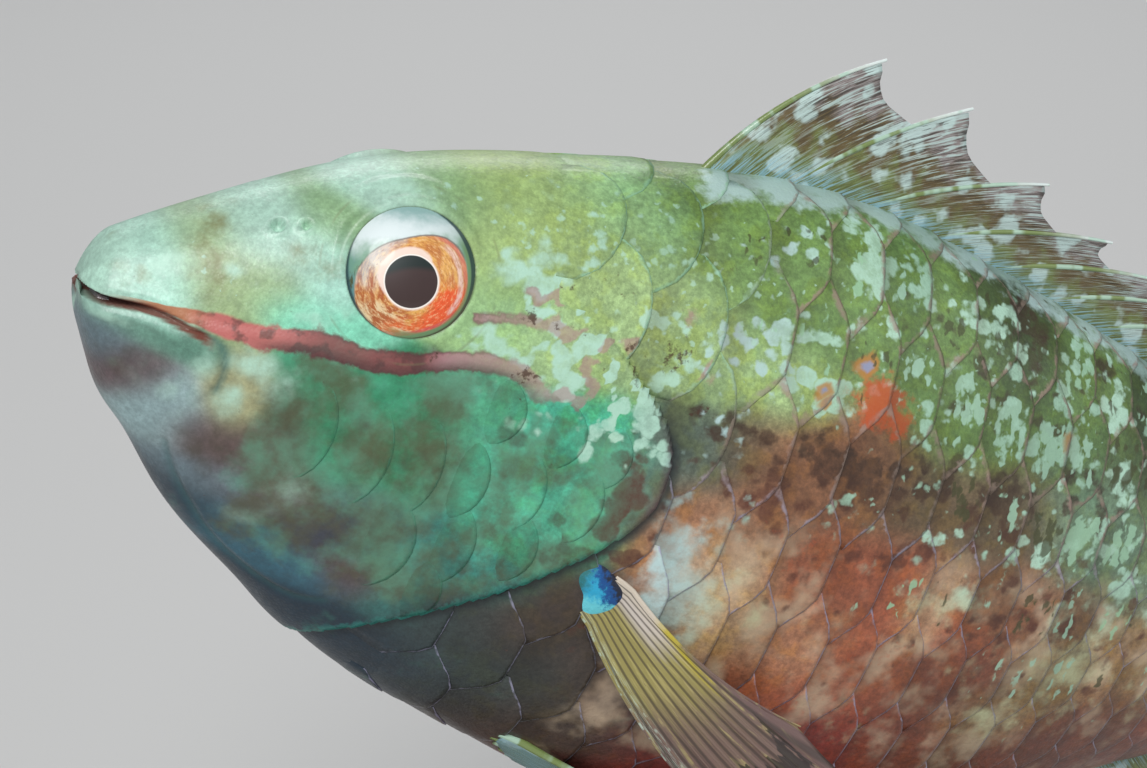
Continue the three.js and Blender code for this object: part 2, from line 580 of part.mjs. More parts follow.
// the fish
const paint = (color, roughness, metalness = 0) => new THREE.MeshStandardMaterial({ color, roughness, metalness });
const skin = paint('#5f9a80', 0.42), flankSkin = paint('#8b8a5c', 0.42), stalkSkin = paint('#8f9a70', 0.42);
const finSkin = paint('#8a8650', 0.45), eyeSkin = paint('#c9853c', 0.08), beak = paint('#d8d2dc', 0.25);

const fish = new THREE.Group();
function addFish(name, geometry, material) {
  const g = moved(geometry, bend);
  g.computeVertexNormals();
  const mesh = new THREE.Mesh(g, material);
  mesh.name = name;
  fish.add(mesh);
}
addFish('head', toGeometry(head), skin);
addFish('trunk', toGeometry(trunk), flankSkin);
addFish('tail', toGeometry(stalk), stalkSkin);
for (const [name, side] of [['eye_left', 1], ['eye_right', -1]]) {
  const at = sided(EYE, side), axis = sided(EYE_AXIS, side);
  const ball = toSolid(lens(at.addScaledVector(axis, -EYE_DEPTH), axis, EYE_RADIUS, EYE_HALF_THICK));
  addFish(name, toGeometry(ball), eyeSkin);
}
addFish('beak_upper', toGeometry(beakUpper), beak);
addFish('beak_lower', toGeometry(beakLower), beak);
addFish('dorsal_fin', trimmed(finGeometry(dorsalColumns, 4)), finSkin);
addFish('anal_fin', trimmed(finGeometry(analColumns, 4)), finSkin);
addFish('caudal_fin', toGeometry(toSolid(finGeometry(tailColumns, 6))), finSkin);
const pectoral = trimmed(finGeometry(pectoralColumns, 5));
addFish('pectoral_fin_left', pectoral, finSkin);
addFish('pectoral_fin_right', mirrored(pectoral), finSkin);
const pelvic = trimmed(finGeometry(pelvicColumns, 5));
addFish('pelvic_fin_left', pelvic, finSkin);
addFish('pelvic_fin_right', mirrored(pelvic), finSkin);

fish.rotation.y = PITCH;
fish.updateMatrixWorld(true);
const fishBox = new THREE.Box3().setFromObject(fish, true);

// the stand
const stand = new THREE.Group();
const snoutHeight = FLOOR_CLEARANCE - fishBox.min.z;
function baseGeometry() {
  const l = BASE_LENGTH / 2, w = BASE_WIDTH / 2, r = 8, bevel = 1.5, shape = new THREE.Shape();
  shape.moveTo(-l + r + bevel, -w + bevel);
  shape.lineTo(l - r - bevel, -w + bevel).quadraticCurveTo(l - bevel, -w + bevel, l - bevel, -w + r + bevel);
  shape.lineTo(l - bevel, w - r - bevel).quadraticCurveTo(l - bevel, w - bevel, l - r - bevel, w - bevel);
  shape.lineTo(-l + r + bevel, w - bevel).quadraticCurveTo(-l + bevel, w - bevel, -l + bevel, w - r - bevel);
  shape.lineTo(-l + bevel, -w + r + bevel).quadraticCurveTo(-l + bevel, -w + bevel, -l + r + bevel, -w + bevel);
  return new THREE.ExtrudeGeometry(shape, {
    depth: BASE_HEIGHT - 2 * bevel, bevelEnabled: true, bevelThickness: bevel, bevelSize: bevel, bevelSegments: 1, curveSegments: 5,
  }).translate(0, 0, bevel);
}
const upright = v => v.applyAxisAngle(new THREE.Vector3(0, 1, 0), PITCH);
const pitchedBody = toSolid(moved(moved(bodyGeometry(GAP, gillRelief), bend), v => upright(v).setZ(v.z + snoutHeight)));
function rodSolid(x) {
  const bottom = BASE_HEIGHT + GAP, height = snoutHeight - bottom;
  const centre = bend(V(x / Math.cos(PITCH), 0, 0)).y;
  const g = new THREE.CylinderGeometry(ROD_RADIUS, ROD_RADIUS, height, 20)
    .rotateX(Math.PI / 2).translate(x, centre, bottom + height / 2);
  return largest(toSolid(g).subtract(pitchedBody));
}
const wood = paint('#3b2a20', 0.5), steel = paint('#b9bcc0', 0.3, 1);
const addStand = (name, geometry, material, x = 0) => {
  const mesh = new THREE.Mesh(geometry, material);
  mesh.name = name;
  mesh.position.x = x;
  stand.add(mesh);
};
addStand('stand_base', toGeometry(toSolid(baseGeometry())), wood, BASE_CENTRE);
addStand('stand_rod_front', toGeometry(rodSolid(ROD_FRONT)), steel);
addStand('stand_rod_rear', toGeometry(rodSolid(ROD_REAR)), steel);

// the whole, centred on the floor
fish.position.z = snoutHeight;
const model = new THREE.Group();
model.add(fish, stand);
model.updateMatrixWorld(true);
const box = new THREE.Box3().setFromObject(model, true);
fish.position.x = stand.position.x = -(box.min.x + box.max.x) / 2;
fish.position.y = stand.position.y = -(box.min.y + box.max.y) / 2;
const whole = new THREE.Group();
whole.add(model);

export default whole;
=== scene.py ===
# %% [markdown]
# # A parrotfish on a display stand
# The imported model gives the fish's solid body, head, eyes, beak, fins and stand. This script
# dresses it: one skin in place of the fleshy solids, scales laid over it like roof tiles, eyes
# with a painted iris, and fins of rays and membrane. The frame is loaded first, because every
# size and place below comes from it.
# %% Load the frame
import bmesh
import bpy
import math
import numpy as np
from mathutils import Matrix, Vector


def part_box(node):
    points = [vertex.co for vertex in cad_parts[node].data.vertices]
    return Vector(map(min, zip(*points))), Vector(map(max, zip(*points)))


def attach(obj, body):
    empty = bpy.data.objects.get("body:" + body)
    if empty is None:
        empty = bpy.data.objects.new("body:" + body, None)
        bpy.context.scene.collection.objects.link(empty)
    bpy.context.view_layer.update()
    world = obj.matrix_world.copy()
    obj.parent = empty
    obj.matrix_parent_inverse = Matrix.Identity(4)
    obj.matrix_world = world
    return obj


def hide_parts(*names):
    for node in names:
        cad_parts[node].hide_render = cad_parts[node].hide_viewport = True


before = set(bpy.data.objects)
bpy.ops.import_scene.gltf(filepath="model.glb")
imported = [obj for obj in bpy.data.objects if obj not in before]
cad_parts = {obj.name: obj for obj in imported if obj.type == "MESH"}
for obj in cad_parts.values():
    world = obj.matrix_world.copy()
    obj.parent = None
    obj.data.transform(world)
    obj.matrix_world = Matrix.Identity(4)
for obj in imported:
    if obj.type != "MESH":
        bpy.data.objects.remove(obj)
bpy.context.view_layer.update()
print("nodes:", sorted(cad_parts))

# %% [markdown]
# ## The body as a few curves
# A fish is easiest to describe straight, as it would lie in a tank seen from the side: x runs
# from the snout to the tail, z is up, and the left side is negative y, all in millimetres. Four
# smooth curves give the back, the belly, the half width and the height of the widest place. The
# body could be sculpted by hand, but curves keep the skin, the scales and the fins on one and the
# same surface, so that each can be worked out from it.
# %% Curves of the body
BODY_LENGTH = 205.0
BEND_START = 58.0
BEND_END = 175.0
BEND_ANGLE = math.radians(14)
PITCH = math.radians(21.7)


def spline(points):
    """A natural cubic spline through (x, value) points."""
    x = np.array([p[0] for p in points], float)
    y = np.array([p[1] for p in points], float)
    n = len(x)
    h = np.diff(x)
    rows = np.zeros((n, n))
    right = np.zeros(n)
    rows[0, 0] = 1
    rows[-1, -1] = 1
    for i in range(1, n - 1):
        rows[i, i - 1:i + 2] = h[i - 1], 2 * (h[i - 1] + h[i]), h[i]
        right[i] = 6 * ((y[i + 1] - y[i]) / h[i] - (y[i] - y[i - 1]) / h[i - 1])
    m = np.linalg.solve(rows, right)

    def value(at):
        at = np.clip(np.asarray(at, float), x[0], x[-1])
        i = np.clip(np.searchsorted(x, at) - 1, 0, n - 2)
        a = (x[i + 1] - at) / h[i]
        b = (at - x[i]) / h[i]
        swell = ((a ** 3 - a) * m[i] + (b ** 3 - b) * m[i + 1]) * h[i] ** 2 / 6
        return a * y[i] + b * y[i + 1] + swell

    return value


back = spline([(0, 0), (4, 2.9), (12, 8.2), (22, 14.3), (34, 19.3), (48, 23.1), (62, 26.1), (76, 27.6),
               (92, 26.3), (112, 22.4), (135, 17.0), (158, 11.4), (180, 7.8), (205, 8.4)])
belly = spline([(0, 0), (2.4, -1.0), (5, -4.7), (9, -8.4), (14, -13.3), (20, -17.9), (28, -22.4),
                (38, -27.6), (50, -31.4), (64, -34.8), (80, -37.0), (95, -36.2), (112, -32.2),
                (132, -26.2), (155, -18.4), (178, -12.0), (205, -11.2)])
flank = spline([(0, 0), (6, 2.4), (14, 5.2), (24, 7.5), (36, 9.5), (50, 11.6), (64, 12.8), (80, 13.0),
                (100, 11.2), (125, 8.0), (150, 4.6), (175, 1.5), (190, -0.4), (205, -2.2)])
widest = spline([(0, 0), (20, -1.0), (45, -1.5), (80, -2.5), (120, -1.5), (160, 0), (205, 0)])


def ease(a, b, v):
    """0 before a, 1 after b, and a smooth rise between them."""
    t = np.clip((np.asarray(v, float) - a) / (b - a), 0, 1)
    return t * t * (3 - 2 * t)


def lerp(a, b, t):
    return a + (b - a) * t


def unit(vectors):
    """The same directions, each 1 long."""
    return vectors / np.maximum(np.linalg.norm(vectors, axis=-1, keepdims=True), 1e-9)


def blunt(x, start, length):
    t = np.clip((np.asarray(x, float) - start) / length, 0, 1)
    return np.sqrt(1 - (1 - t) ** 2)


def top_at(x):
    return back(x) + 5.2 * blunt(x, 0, 2.4)


def bottom_at(x):
    return belly(x) - 4.0 * blunt(x, 0.6, 3.0)


def width_at(x):
    return flank(x) + 4.6 * blunt(x, 0, 2.4)


def upper_power(x):
    return np.interp(x, [0, 30, 60, 205], [0.8, 0.8, 0.95, 1.0])


def lower_power(x):
    return np.interp(x, [0, 30, 60, 205], [0.8, 0.8, 0.9, 1.0])


def body_point(x, turn):
    """The straight body at x; turn is 0 on the left flank, a quarter turn on the back."""
    x, turn = np.broadcast_arrays(np.asarray(x, float), np.asarray(turn, float))
    up = np.sin(turn)
    out = np.cos(turn)
    mid = widest(x)
    power = np.where(up > 0, upper_power(x), lower_power(x))
    y = -width_at(x) * np.sign(out) * np.abs(out) ** power
    z = np.where(up > 0, mid + (top_at(x) - mid) * up, mid + (mid - bottom_at(x)) * up)
    return np.stack([x, y, z], -1)


def side_at(x, z):
    """Half width of the body at a place on its side."""
    mid = widest(x)
    reach = np.where(z > mid, top_at(x) - mid, mid - bottom_at(x))
    up = np.clip(np.abs(z - mid) / np.maximum(reach, 1e-6), 0, 1)
    power = np.where(z > mid, upper_power(x), lower_power(x))
    return width_at(x) * np.sqrt(1 - up * up) ** power


print("deepest:", round(float(top_at(76) - bottom_at(80)), 1), "mm, widest:",
      round(2 * float(width_at(78)), 1), "mm")

# %% [markdown]
# ## From the straight fish to the pose
# The fish in the photograph holds its head up and its tail swung a little to its right. The
# straight shape is first bent along its backbone and then pitched, and last it is moved to where the packed
# model has it. That place is read from the frame: the left eyeball's box gives it.
# %% Bend, pitch and place
EYE = np.array([29.8, -10.9, 13.4])
EYE_AXIS = unit(np.array([-0.17, -0.94, 0.30]))
EYE_RADIUS = 7.5
EYE_HALF_THICK = 4.1
EYE_DEPTH = 1.9
ORBIT_CREASE = 9.3
FAR_FROM_EYE = 30.0

table_x = np.linspace(-5, 275, 1121)
table_heading = BEND_ANGLE * ease(BEND_START, BEND_END, table_x)
step = np.diff(table_x)
middle = (table_heading[1:] + table_heading[:-1]) / 2
table_along = table_x[0] + np.concatenate([[0], np.cumsum(np.cos(middle) * step)])
table_aside = np.concatenate([[0], np.cumsum(np.sin(middle) * step)])


def pitched(points):
    x = points[..., 0] * math.cos(PITCH) + points[..., 2] * math.sin(PITCH)
    z = -points[..., 0] * math.sin(PITCH) + points[..., 2] * math.cos(PITCH)
    return np.stack([x, points[..., 1], z], -1)


def bent(points):
    along = np.interp(points[..., 0], table_x, table_along)
    aside = np.interp(points[..., 0], table_x, table_aside)
    heading = np.interp(points[..., 0], table_x, table_heading)
    x = along - points[..., 1] * np.sin(heading)
    y = aside + points[..., 1] * np.cos(heading)
    return np.stack([x, y, points[..., 2]], -1)


eye_low, eye_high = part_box("eye_left")
eyeball = EYE - EYE_AXIS * EYE_DEPTH
OFFSET = 500 * np.array(eye_low + eye_high) - pitched(eyeball)


def placed(points):
    """Straight fish in millimetres to the scene in metres."""
    return (pitched(bent(np.asarray(points, float))) + OFFSET) / 1000


print("the snout is at", np.round(placed([0, 0, 0]), 4), "m")

# %% [markdown]
# ## Marks measured in place of drawn
# Every mark on the fish is given by where it lies on the straight body. Helpers turn a list of
# places into a smooth weight for each point of a mesh, and the materials later break that weight
# up into ragged spots. Painting a picture would be quicker, but weights follow the body from any
# side, on the skin and on the scales alike.
# %% Mesh and paint helpers
def tone(red, green, blue):
    """A paint as seen, 0 to 255, as the linear colour that the materials use."""
    seen = np.array([red, green, blue]) / 255
    linear = np.where(seen <= 0.04045, seen / 12.92, ((seen + 0.055) / 1.055) ** 2.4)
    return tuple(float(v) for v in linear) + (1.0,)


def mesh_piece(name, points, faces, smooth=True, closed=False):
    """A mesh object; a closed one has its faces turned outwards."""
    mesh = bpy.data.meshes.new(name)
    mesh.from_pydata([tuple(p) for p in np.asarray(points).reshape(-1, 3)], [], faces)
    if closed:
        shell = bmesh.new()
        shell.from_mesh(mesh)
        bmesh.ops.recalc_face_normals(shell, faces=shell.faces)
        shell.to_mesh(mesh)
        shell.free()
    mesh.polygons.foreach_set("use_smooth", [smooth] * len(mesh.polygons))
    mesh.update()
    piece = bpy.data.objects.new(name, mesh)
    bpy.context.scene.collection.objects.link(piece)
    return piece


def write_values(mesh, name, values):
    values = np.asarray(values, np.float32)
    if values.ndim == 1:
        layer = mesh.attributes.new(name, "FLOAT", "POINT")
        layer.data.foreach_set("value", values)
    elif values.shape[1] == 3:
        layer = mesh.attributes.new(name, "FLOAT_VECTOR", "POINT")
        layer.data.foreach_set("vector", values.ravel())
    else:
        layer = mesh.attributes.new(name, "FLOAT_COLOR", "POINT")
        layer.data.foreach_set("color", values.ravel())


def grid_faces(rows, columns, around=False):
    """Quads between neighbouring rows of points; around joins the last column to the first."""
    faces = []
    across = columns if around else columns - 1
    for i in range(rows - 1):
        for j in range(across):
            a = i * columns + j
            b = i * columns + (j + 1) % columns
            faces.append((a, b, b + columns, a + columns))
    return faces


def spots(x, z, places):
    """Soft spots: the strongest of (x, z, reach along, reach up, strength) at each point."""
    weight = np.zeros(len(x))
    for px, pz, rx, rz, strength in places:
        far = ((x - px) / rx) ** 2 + ((z - pz) / rz) ** 2
        weight = np.maximum(weight, strength * np.exp(-0.7 * far))
    return weight


def line_distance(x, z, path):
    """Distance to a line of (x, z) places."""
    best = np.full(len(x), 1e9)
    for (ax, az), (bx, bz) in zip(path[:-1], path[1:]):
        dx = bx - ax
        dz = bz - az
        t = np.clip(((x - ax) * dx + (z - az) * dz) / (dx * dx + dz * dz), 0, 1)
        best = np.minimum(best, np.hypot(x - ax - t * dx, z - az - t * dz))
    return best


def smooth_path(path, per_step=8):
    """A denser line through the same places, rounded."""
    places = np.array(path, float)
    at = np.arange(len(places))
    fine = np.linspace(0, len(places) - 1, (len(places) - 1) * per_step + 1)
    return list(zip(spline(list(zip(at, places[:, 0])))(fine), spline(list(zip(at, places[:, 1])))(fine)))


# %% [markdown]
# ## Ground colours of the body
# Under its blotches a parrotfish changes colour smoothly from place to place: grey mint on the
# snout, yellow green on the nape, olive on the back, brown along the middle, brick red on the
# belly, green and turquoise on the cheek and gill cover, slate on the jaw, and blue under the chin and
# throat, deepened there into painted shade. Each area is a named paint with a centre and a reach, and a
# point takes the mean of the areas that reach it.
# %% Ground colours
GREY_MINT = tone(164, 200, 182)
PALE_MINT = tone(162, 210, 192)
BRIGHT_MINT = tone(126, 208, 176)
TAN_MINT = tone(146, 168, 120)
OLIVE_BROW = tone(126, 160, 110)
NAPE_GREEN = tone(146, 172, 108)
NAPE_MINT = tone(144, 186, 132)
BACK_OLIVE = tone(106, 140, 78)
BACK_DARK = tone(58, 76, 40)
LIGHT_OLIVE = tone(152, 182, 126)
SHADE_BROWN = tone(104, 88, 66)
GREY_TEAL = tone(88, 104, 92)
EARTH_BROWN = tone(132, 90, 64)
TAN_BRICK = tone(166, 118, 88)
BRICK = tone(152, 84, 58)
DEEP_BRICK = tone(116, 62, 46)
DARK_RED = tone(132, 42, 36)
PEACH = tone(184, 152, 118)
REAR_TAN = tone(142, 112, 76)
REAR_MINT = tone(108, 136, 112)
CHEEK_GREEN = tone(36, 124, 84)
CHEEK_BROWN = tone(66, 78, 52)
TURQUOISE = tone(66, 172, 140)
OPERCLE_GREEN = tone(72, 152, 120)
DEEP_TEAL = tone(44, 120, 112)
LIP_GREEN = tone(84, 128, 110)
JAW_SLATE = tone(92, 112, 120)
JAW_PALE = tone(140, 166, 168)
JAW_TAN = tone(150, 150, 112)
JAW_MAROON = tone(86, 66, 68)
JAW_VIOLET = tone(52, 58, 70)
# Chin and throat: a blue of their own, painted much darker as shade under the head.
CHIN_BLUE_SHADED = tone(44, 90, 106)
THROAT_BLUE_SHADED = tone(10, 36, 52)
BREAST = tone(48, 62, 62)
BREAST_BROWN = tone(70, 56, 50)

GROUND = [
    (3, 5, 4, 4, GREY_MINT), (7, 5, 3, 4, PALE_MINT), (10, 9, 3, 3, TAN_MINT), (13, 6, 4, 3, TAN_MINT),
    (17, 8, 3, 2, TAN_MINT), (21, 6, 4, 2, BRIGHT_MINT), (16, 12, 6, 3, GREY_MINT),
    (22, 15.5, 3, 2, OLIVE_BROW), (22, 10, 2.5, 4, PALE_MINT), (26, 20, 5, 2, GREY_MINT),
    (32, 21, 4, 2, OLIVE_BROW), (38, 18, 4, 5, NAPE_GREEN), (24, 5, 3, 2, BRIGHT_MINT),
    (45, 21, 6, 4, NAPE_GREEN), (52, 25, 5, 3, NAPE_MINT), (40, 13, 4, 3, NAPE_MINT),
    (47, 12, 5, 3, LIGHT_OLIVE), (55, 18, 6, 5, LIGHT_OLIVE), (62, 26, 6, 4, BACK_OLIVE),
    (64, 14, 4, 3, LIGHT_OLIVE), (72, 14, 4, 3, LIGHT_OLIVE), (74, 24, 8, 5, BACK_OLIVE),
    (88, 21, 7, 4, BACK_OLIVE), (102, 24, 5, 5, BACK_DARK), (112, 20, 6, 6, BACK_OLIVE),
    (96, 15, 6, 4, BACK_OLIVE), (124, 18, 8, 6, BACK_DARK), (64, 5, 4, 4, GREY_TEAL),
    (70, 7, 3, 3, SHADE_BROWN), (76, 6, 5, 4, EARTH_BROWN), (84, 7, 5, 4, EARTH_BROWN),
    (95, 6, 8, 4, SHADE_BROWN), (104, 6, 6, 4, SHADE_BROWN), (116, 8, 7, 5, REAR_MINT),
    (74, -1, 5, 3, EARTH_BROWN), (66, -4, 3, 4, TAN_BRICK), (73, -9, 4, 5, PEACH), (82, -6, 4, 5, BRICK),
    (83, -13, 4, 4, TAN_BRICK), (92, -4, 4, 4, BRICK), (93, -14, 5, 6, BRICK), (98, -6, 2.5, 4, PEACH),
    (104, -9, 4, 4, BRICK), (108, -3, 4, 4, EARTH_BROWN), (106, -15, 5, 5, DEEP_BRICK),
    (82, -22, 5, 4, BRICK), (92, -25, 7, 4, DARK_RED), (104, -24, 8, 4, DEEP_BRICK),
    (82, -31, 8, 5, DARK_RED), (78, -38, 12, 4, DARK_RED), (113, -19, 5, 3, REAR_TAN),
    (122, -11, 6, 4, REAR_TAN), (118, -4, 5, 3, EARTH_BROWN), (126, 3, 7, 5, REAR_MINT),
    (120, -24, 8, 3, DEEP_BRICK), (134, -8, 7, 6, REAR_TAN), (134, -18, 8, 4, DEEP_BRICK),
    (142, 8, 9, 5, REAR_MINT), (150, -4, 10, 6, EARTH_BROWN), (165, 3, 10, 6, REAR_TAN),
    (180, -5, 12, 6, EARTH_BROWN), (198, 2, 12, 8, REAR_TAN), (150, 12, 12, 4, BACK_OLIVE),
    (175, 7, 12, 3, BACK_OLIVE), (24, 1, 3, 2, CHEEK_GREEN), (31, 1, 4, 2.5, CHEEK_GREEN),
    (28, -5, 3, 4, CHEEK_GREEN), (35, -3, 4, 4, CHEEK_GREEN), (22, -4, 2, 3, CHEEK_BROWN),
    (32, -5, 1.6, 3, CHEEK_BROWN), (39, -4, 1.6, 4, CHEEK_BROWN), (41, 2, 3, 3, OPERCLE_GREEN),
    (45, -2, 4, 4, TURQUOISE), (52, 1, 4, 4, TURQUOISE), (48, -9, 4, 4, TURQUOISE),
    (54, -6, 3, 3, OPERCLE_GREEN), (43, -13, 3, 3, DEEP_TEAL), (49, -13, 3, 3, DEEP_TEAL),
    (59, 0, 2, 4, GREY_TEAL), (40, -18, 3, 3, DEEP_TEAL), (8, -0.8, 5, 1.2, LIP_GREEN),
    (3, -3, 3, 2, JAW_SLATE), (7, -5, 3, 2.4, JAW_MAROON), (11, -8, 3, 3, JAW_PALE),
    (17, -4, 2.4, 3, JAW_TAN), (15, -9, 3, 2, JAW_MAROON), (22, -8, 3, 2, JAW_MAROON),
    (23, -12, 6, 3, JAW_MAROON), (18, -14, 5, 2, JAW_SLATE), (33, -13, 4, 2.5, JAW_VIOLET),
    (29, -16.5, 6, 2, JAW_VIOLET), (22, -17, 4, 1.6, CHIN_BLUE_SHADED), (35, -18.5, 4, 2, JAW_MAROON),
    (28, -20.5, 5, 1.6, CHIN_BLUE_SHADED), (14, -17, 6, 2, THROAT_BLUE_SHADED), (26, -26, 10, 3, THROAT_BLUE_SHADED),
    (40, -30, 10, 4, THROAT_BLUE_SHADED), (46, -20, 5, 3, BREAST), (54, -18, 4, 5, BREAST_BROWN),
    (52, -27, 8, 5, BREAST), (64, -22, 4, 6, BREAST_BROWN), (62, -32, 10, 5, BREAST_BROWN),
]


def ground_colour(x, z):
    total = np.full((len(x), 1), 1e-9)
    mixed = np.zeros((len(x), 4))
    for px, pz, rx, rz, paint in GROUND:
        far = ((x - px) / rx) ** 2 + ((z - pz) / rz) ** 2
        pull = np.exp(-1.1 * far)[:, None] + 1e-7 / (1 + far)[:, None]
        total += pull
        mixed += pull * np.array(paint)
    return mixed / total


print(len(GROUND), "areas of ground colour")

# %% [markdown]
# ## Blotches, band and lines
# On the ground colour lie the marks that name this fish: a rose band from the corner of the mouth
# under the eye, pale mint clouds on the upper side, dark brown clouds along the middle, cream
# patches behind the pectoral fin and an orange red smudge high behind the gill cover. The other
# side of a fish is never its mirror image, so there each spot moves a little.
# %% Places of the marks
BAND = smooth_path([(2.8, 1.45), (5.6, 1.85), (8.5, 2.2), (13, 2.5), (18, 2.8), (23.2, 3.9), (29.5, 4.1),
                    (33.6, 5.3), (38, 6.9), (43, 7.2), (46, 5.8)])
DASH = smooth_path([(37.4, 11.3), (41, 12.3), (45.9, 12.6)])
GILL_EDGE = smooth_path([(46, 44), (47.5, 30), (49, 19), (52.2, 13.2), (57, 9.4), (61, 5.2), (62.2, 0.8),
                         (61.4, -3.4), (57.6, -8.6), (50, -15.8), (41, -22.6), (33.5, -28.6), (28.5, -36)])
JAW_FOLD = smooth_path([(11.6, 1.1), (13.6, 0.7), (14.6, -0.4), (15.1, -2.3), (14.9, -4.2)])
THROAT_FOLD = smooth_path([(12.5, -11.5), (14.6, -14.6), (18, -18), (22.2, -21.2), (28.8, -23.6),
                           (33.8, -22.8)])
PALE_SPOTS = [
    (68.5, 26, 3, 1.5, .95), (71.5, 29, 1.8, 1.6, .8), (79.5, 28, 3, 3.2, 1), (82.5, 23, 1.6, 2.6, .9),
    (87, 27, 3.4, 2.2, .95), (95, 26, 4.2, 2.4, 1), (74, 20, 8, 1.1, .8), (67, 17.5, 5, 1.5, .75),
    (72, 15.2, 7, 1.4, .8), (77, 14, 2.4, 2.2, .85), (85, 19.5, 2, 1, .5), (100, 22, 1.4, 3.4, .7),
    (108, 21, 1.6, 3.4, .95), (104, 14.4, 3, 1.2, .95), (109.5, 15, 1.6, 2.4, .9),
    (116, 19.5, 3.6, 2.6, 1), (112, 25, 4, 1, .7), (96, 12, 2.4, 1.6, .6), (89, 13, 1.6, 3.4, .65),
    (91, 8.5, 1.6, 2.6, .6), (119, 12, 3, 3.4, .8), (84, 2.6, 2.2, 1.8, .8), (81.5, 4, 1.2, 1, .7),
    (95, 3, 2.4, 1.4, .6), (109, 3, 3.4, 1.8, .95), (114, 6, 2, 2, .6), (120, 5, 3.6, 2.6, .85),
    (125, 1, 3, 2, .8), (65.5, -6, 2.4, 4.4, 1), (68.5, -11, 4.2, 3.6, 1.1), (65, -13, 2.4, 2, .9),
    (71, -17, 2, 2.6, .7), (64, -1, 1.5, 2, .6), (77.6, -11, 1, 2.6, .55), (84.5, -12, 1, 2.4, .5),
    (98, -4.6, 2.2, 3, .7), (102.5, -4, 2.2, 1.8, .8), (85, -24, 2.4, 1.6, .5),
    (90, -25.6, 1.6, 1.2, .45), (124, -11, 5, 2.4, .75), (113, -18.6, 4, 2, .75), (117, -3, 3, 1.4, .7),
    (124, -5, 3.6, 1.8, .7), (134, 5, 4, 3, .9), (130, -2, 3, 2, .7), (140, -12, 5, 2.4, .6),
    (146, 0, 5, 2.4, .8), (158, 6, 5, 2.2, .8), (160, -5, 4, 2.4, .7), (172, 0, 5, 2.6, .7),
    (186, 4, 5, 2.6, .8), (190, -6, 4, 2.4, .6), (138, 13, 4, 2, .8), (57.6, 6.5, 1.6, 3.4, .95),
    (52.5, 2, 1, 2.4, .6), (17.6, -0.2, 2.4, 1.6, .95), (16.4, -4.8, 1.4, 1.9, .85),
    (20.4, -1.4, 1.8, 2.2, .5), (13.2, -2, 1.2, 1.6, .6), (10.6, -6, 1.4, 1.4, .5),
    (25.4, -12.4, 2, 2.6, .5), (3, -0.6, 2.2, 0.7, .7), (42.4, 18.6, 2, 1.4, .8),
    (47.6, 18.2, 1.2, 1, .8), (60, 4, 1.6, 1.4, .9), (60.4, 12.8, 1.8, 1.2, .8), (57, 4.4, 2.2, 1.2, .8),
    (46.6, 4.2, 1.8, 1, .5), (62, 9.8, 1.6, 1, .7), (53, 4.4, 2, 1, .6), (7, 5, 1.6, 2.6, .6),
    (22, 6.2, 3, 1, .45), (13, 8, 1.6, 0.8, .6), (27, 20.6, 4, 0.9, .6), (22, -16.5, 2.4, 1.4, .4),
]
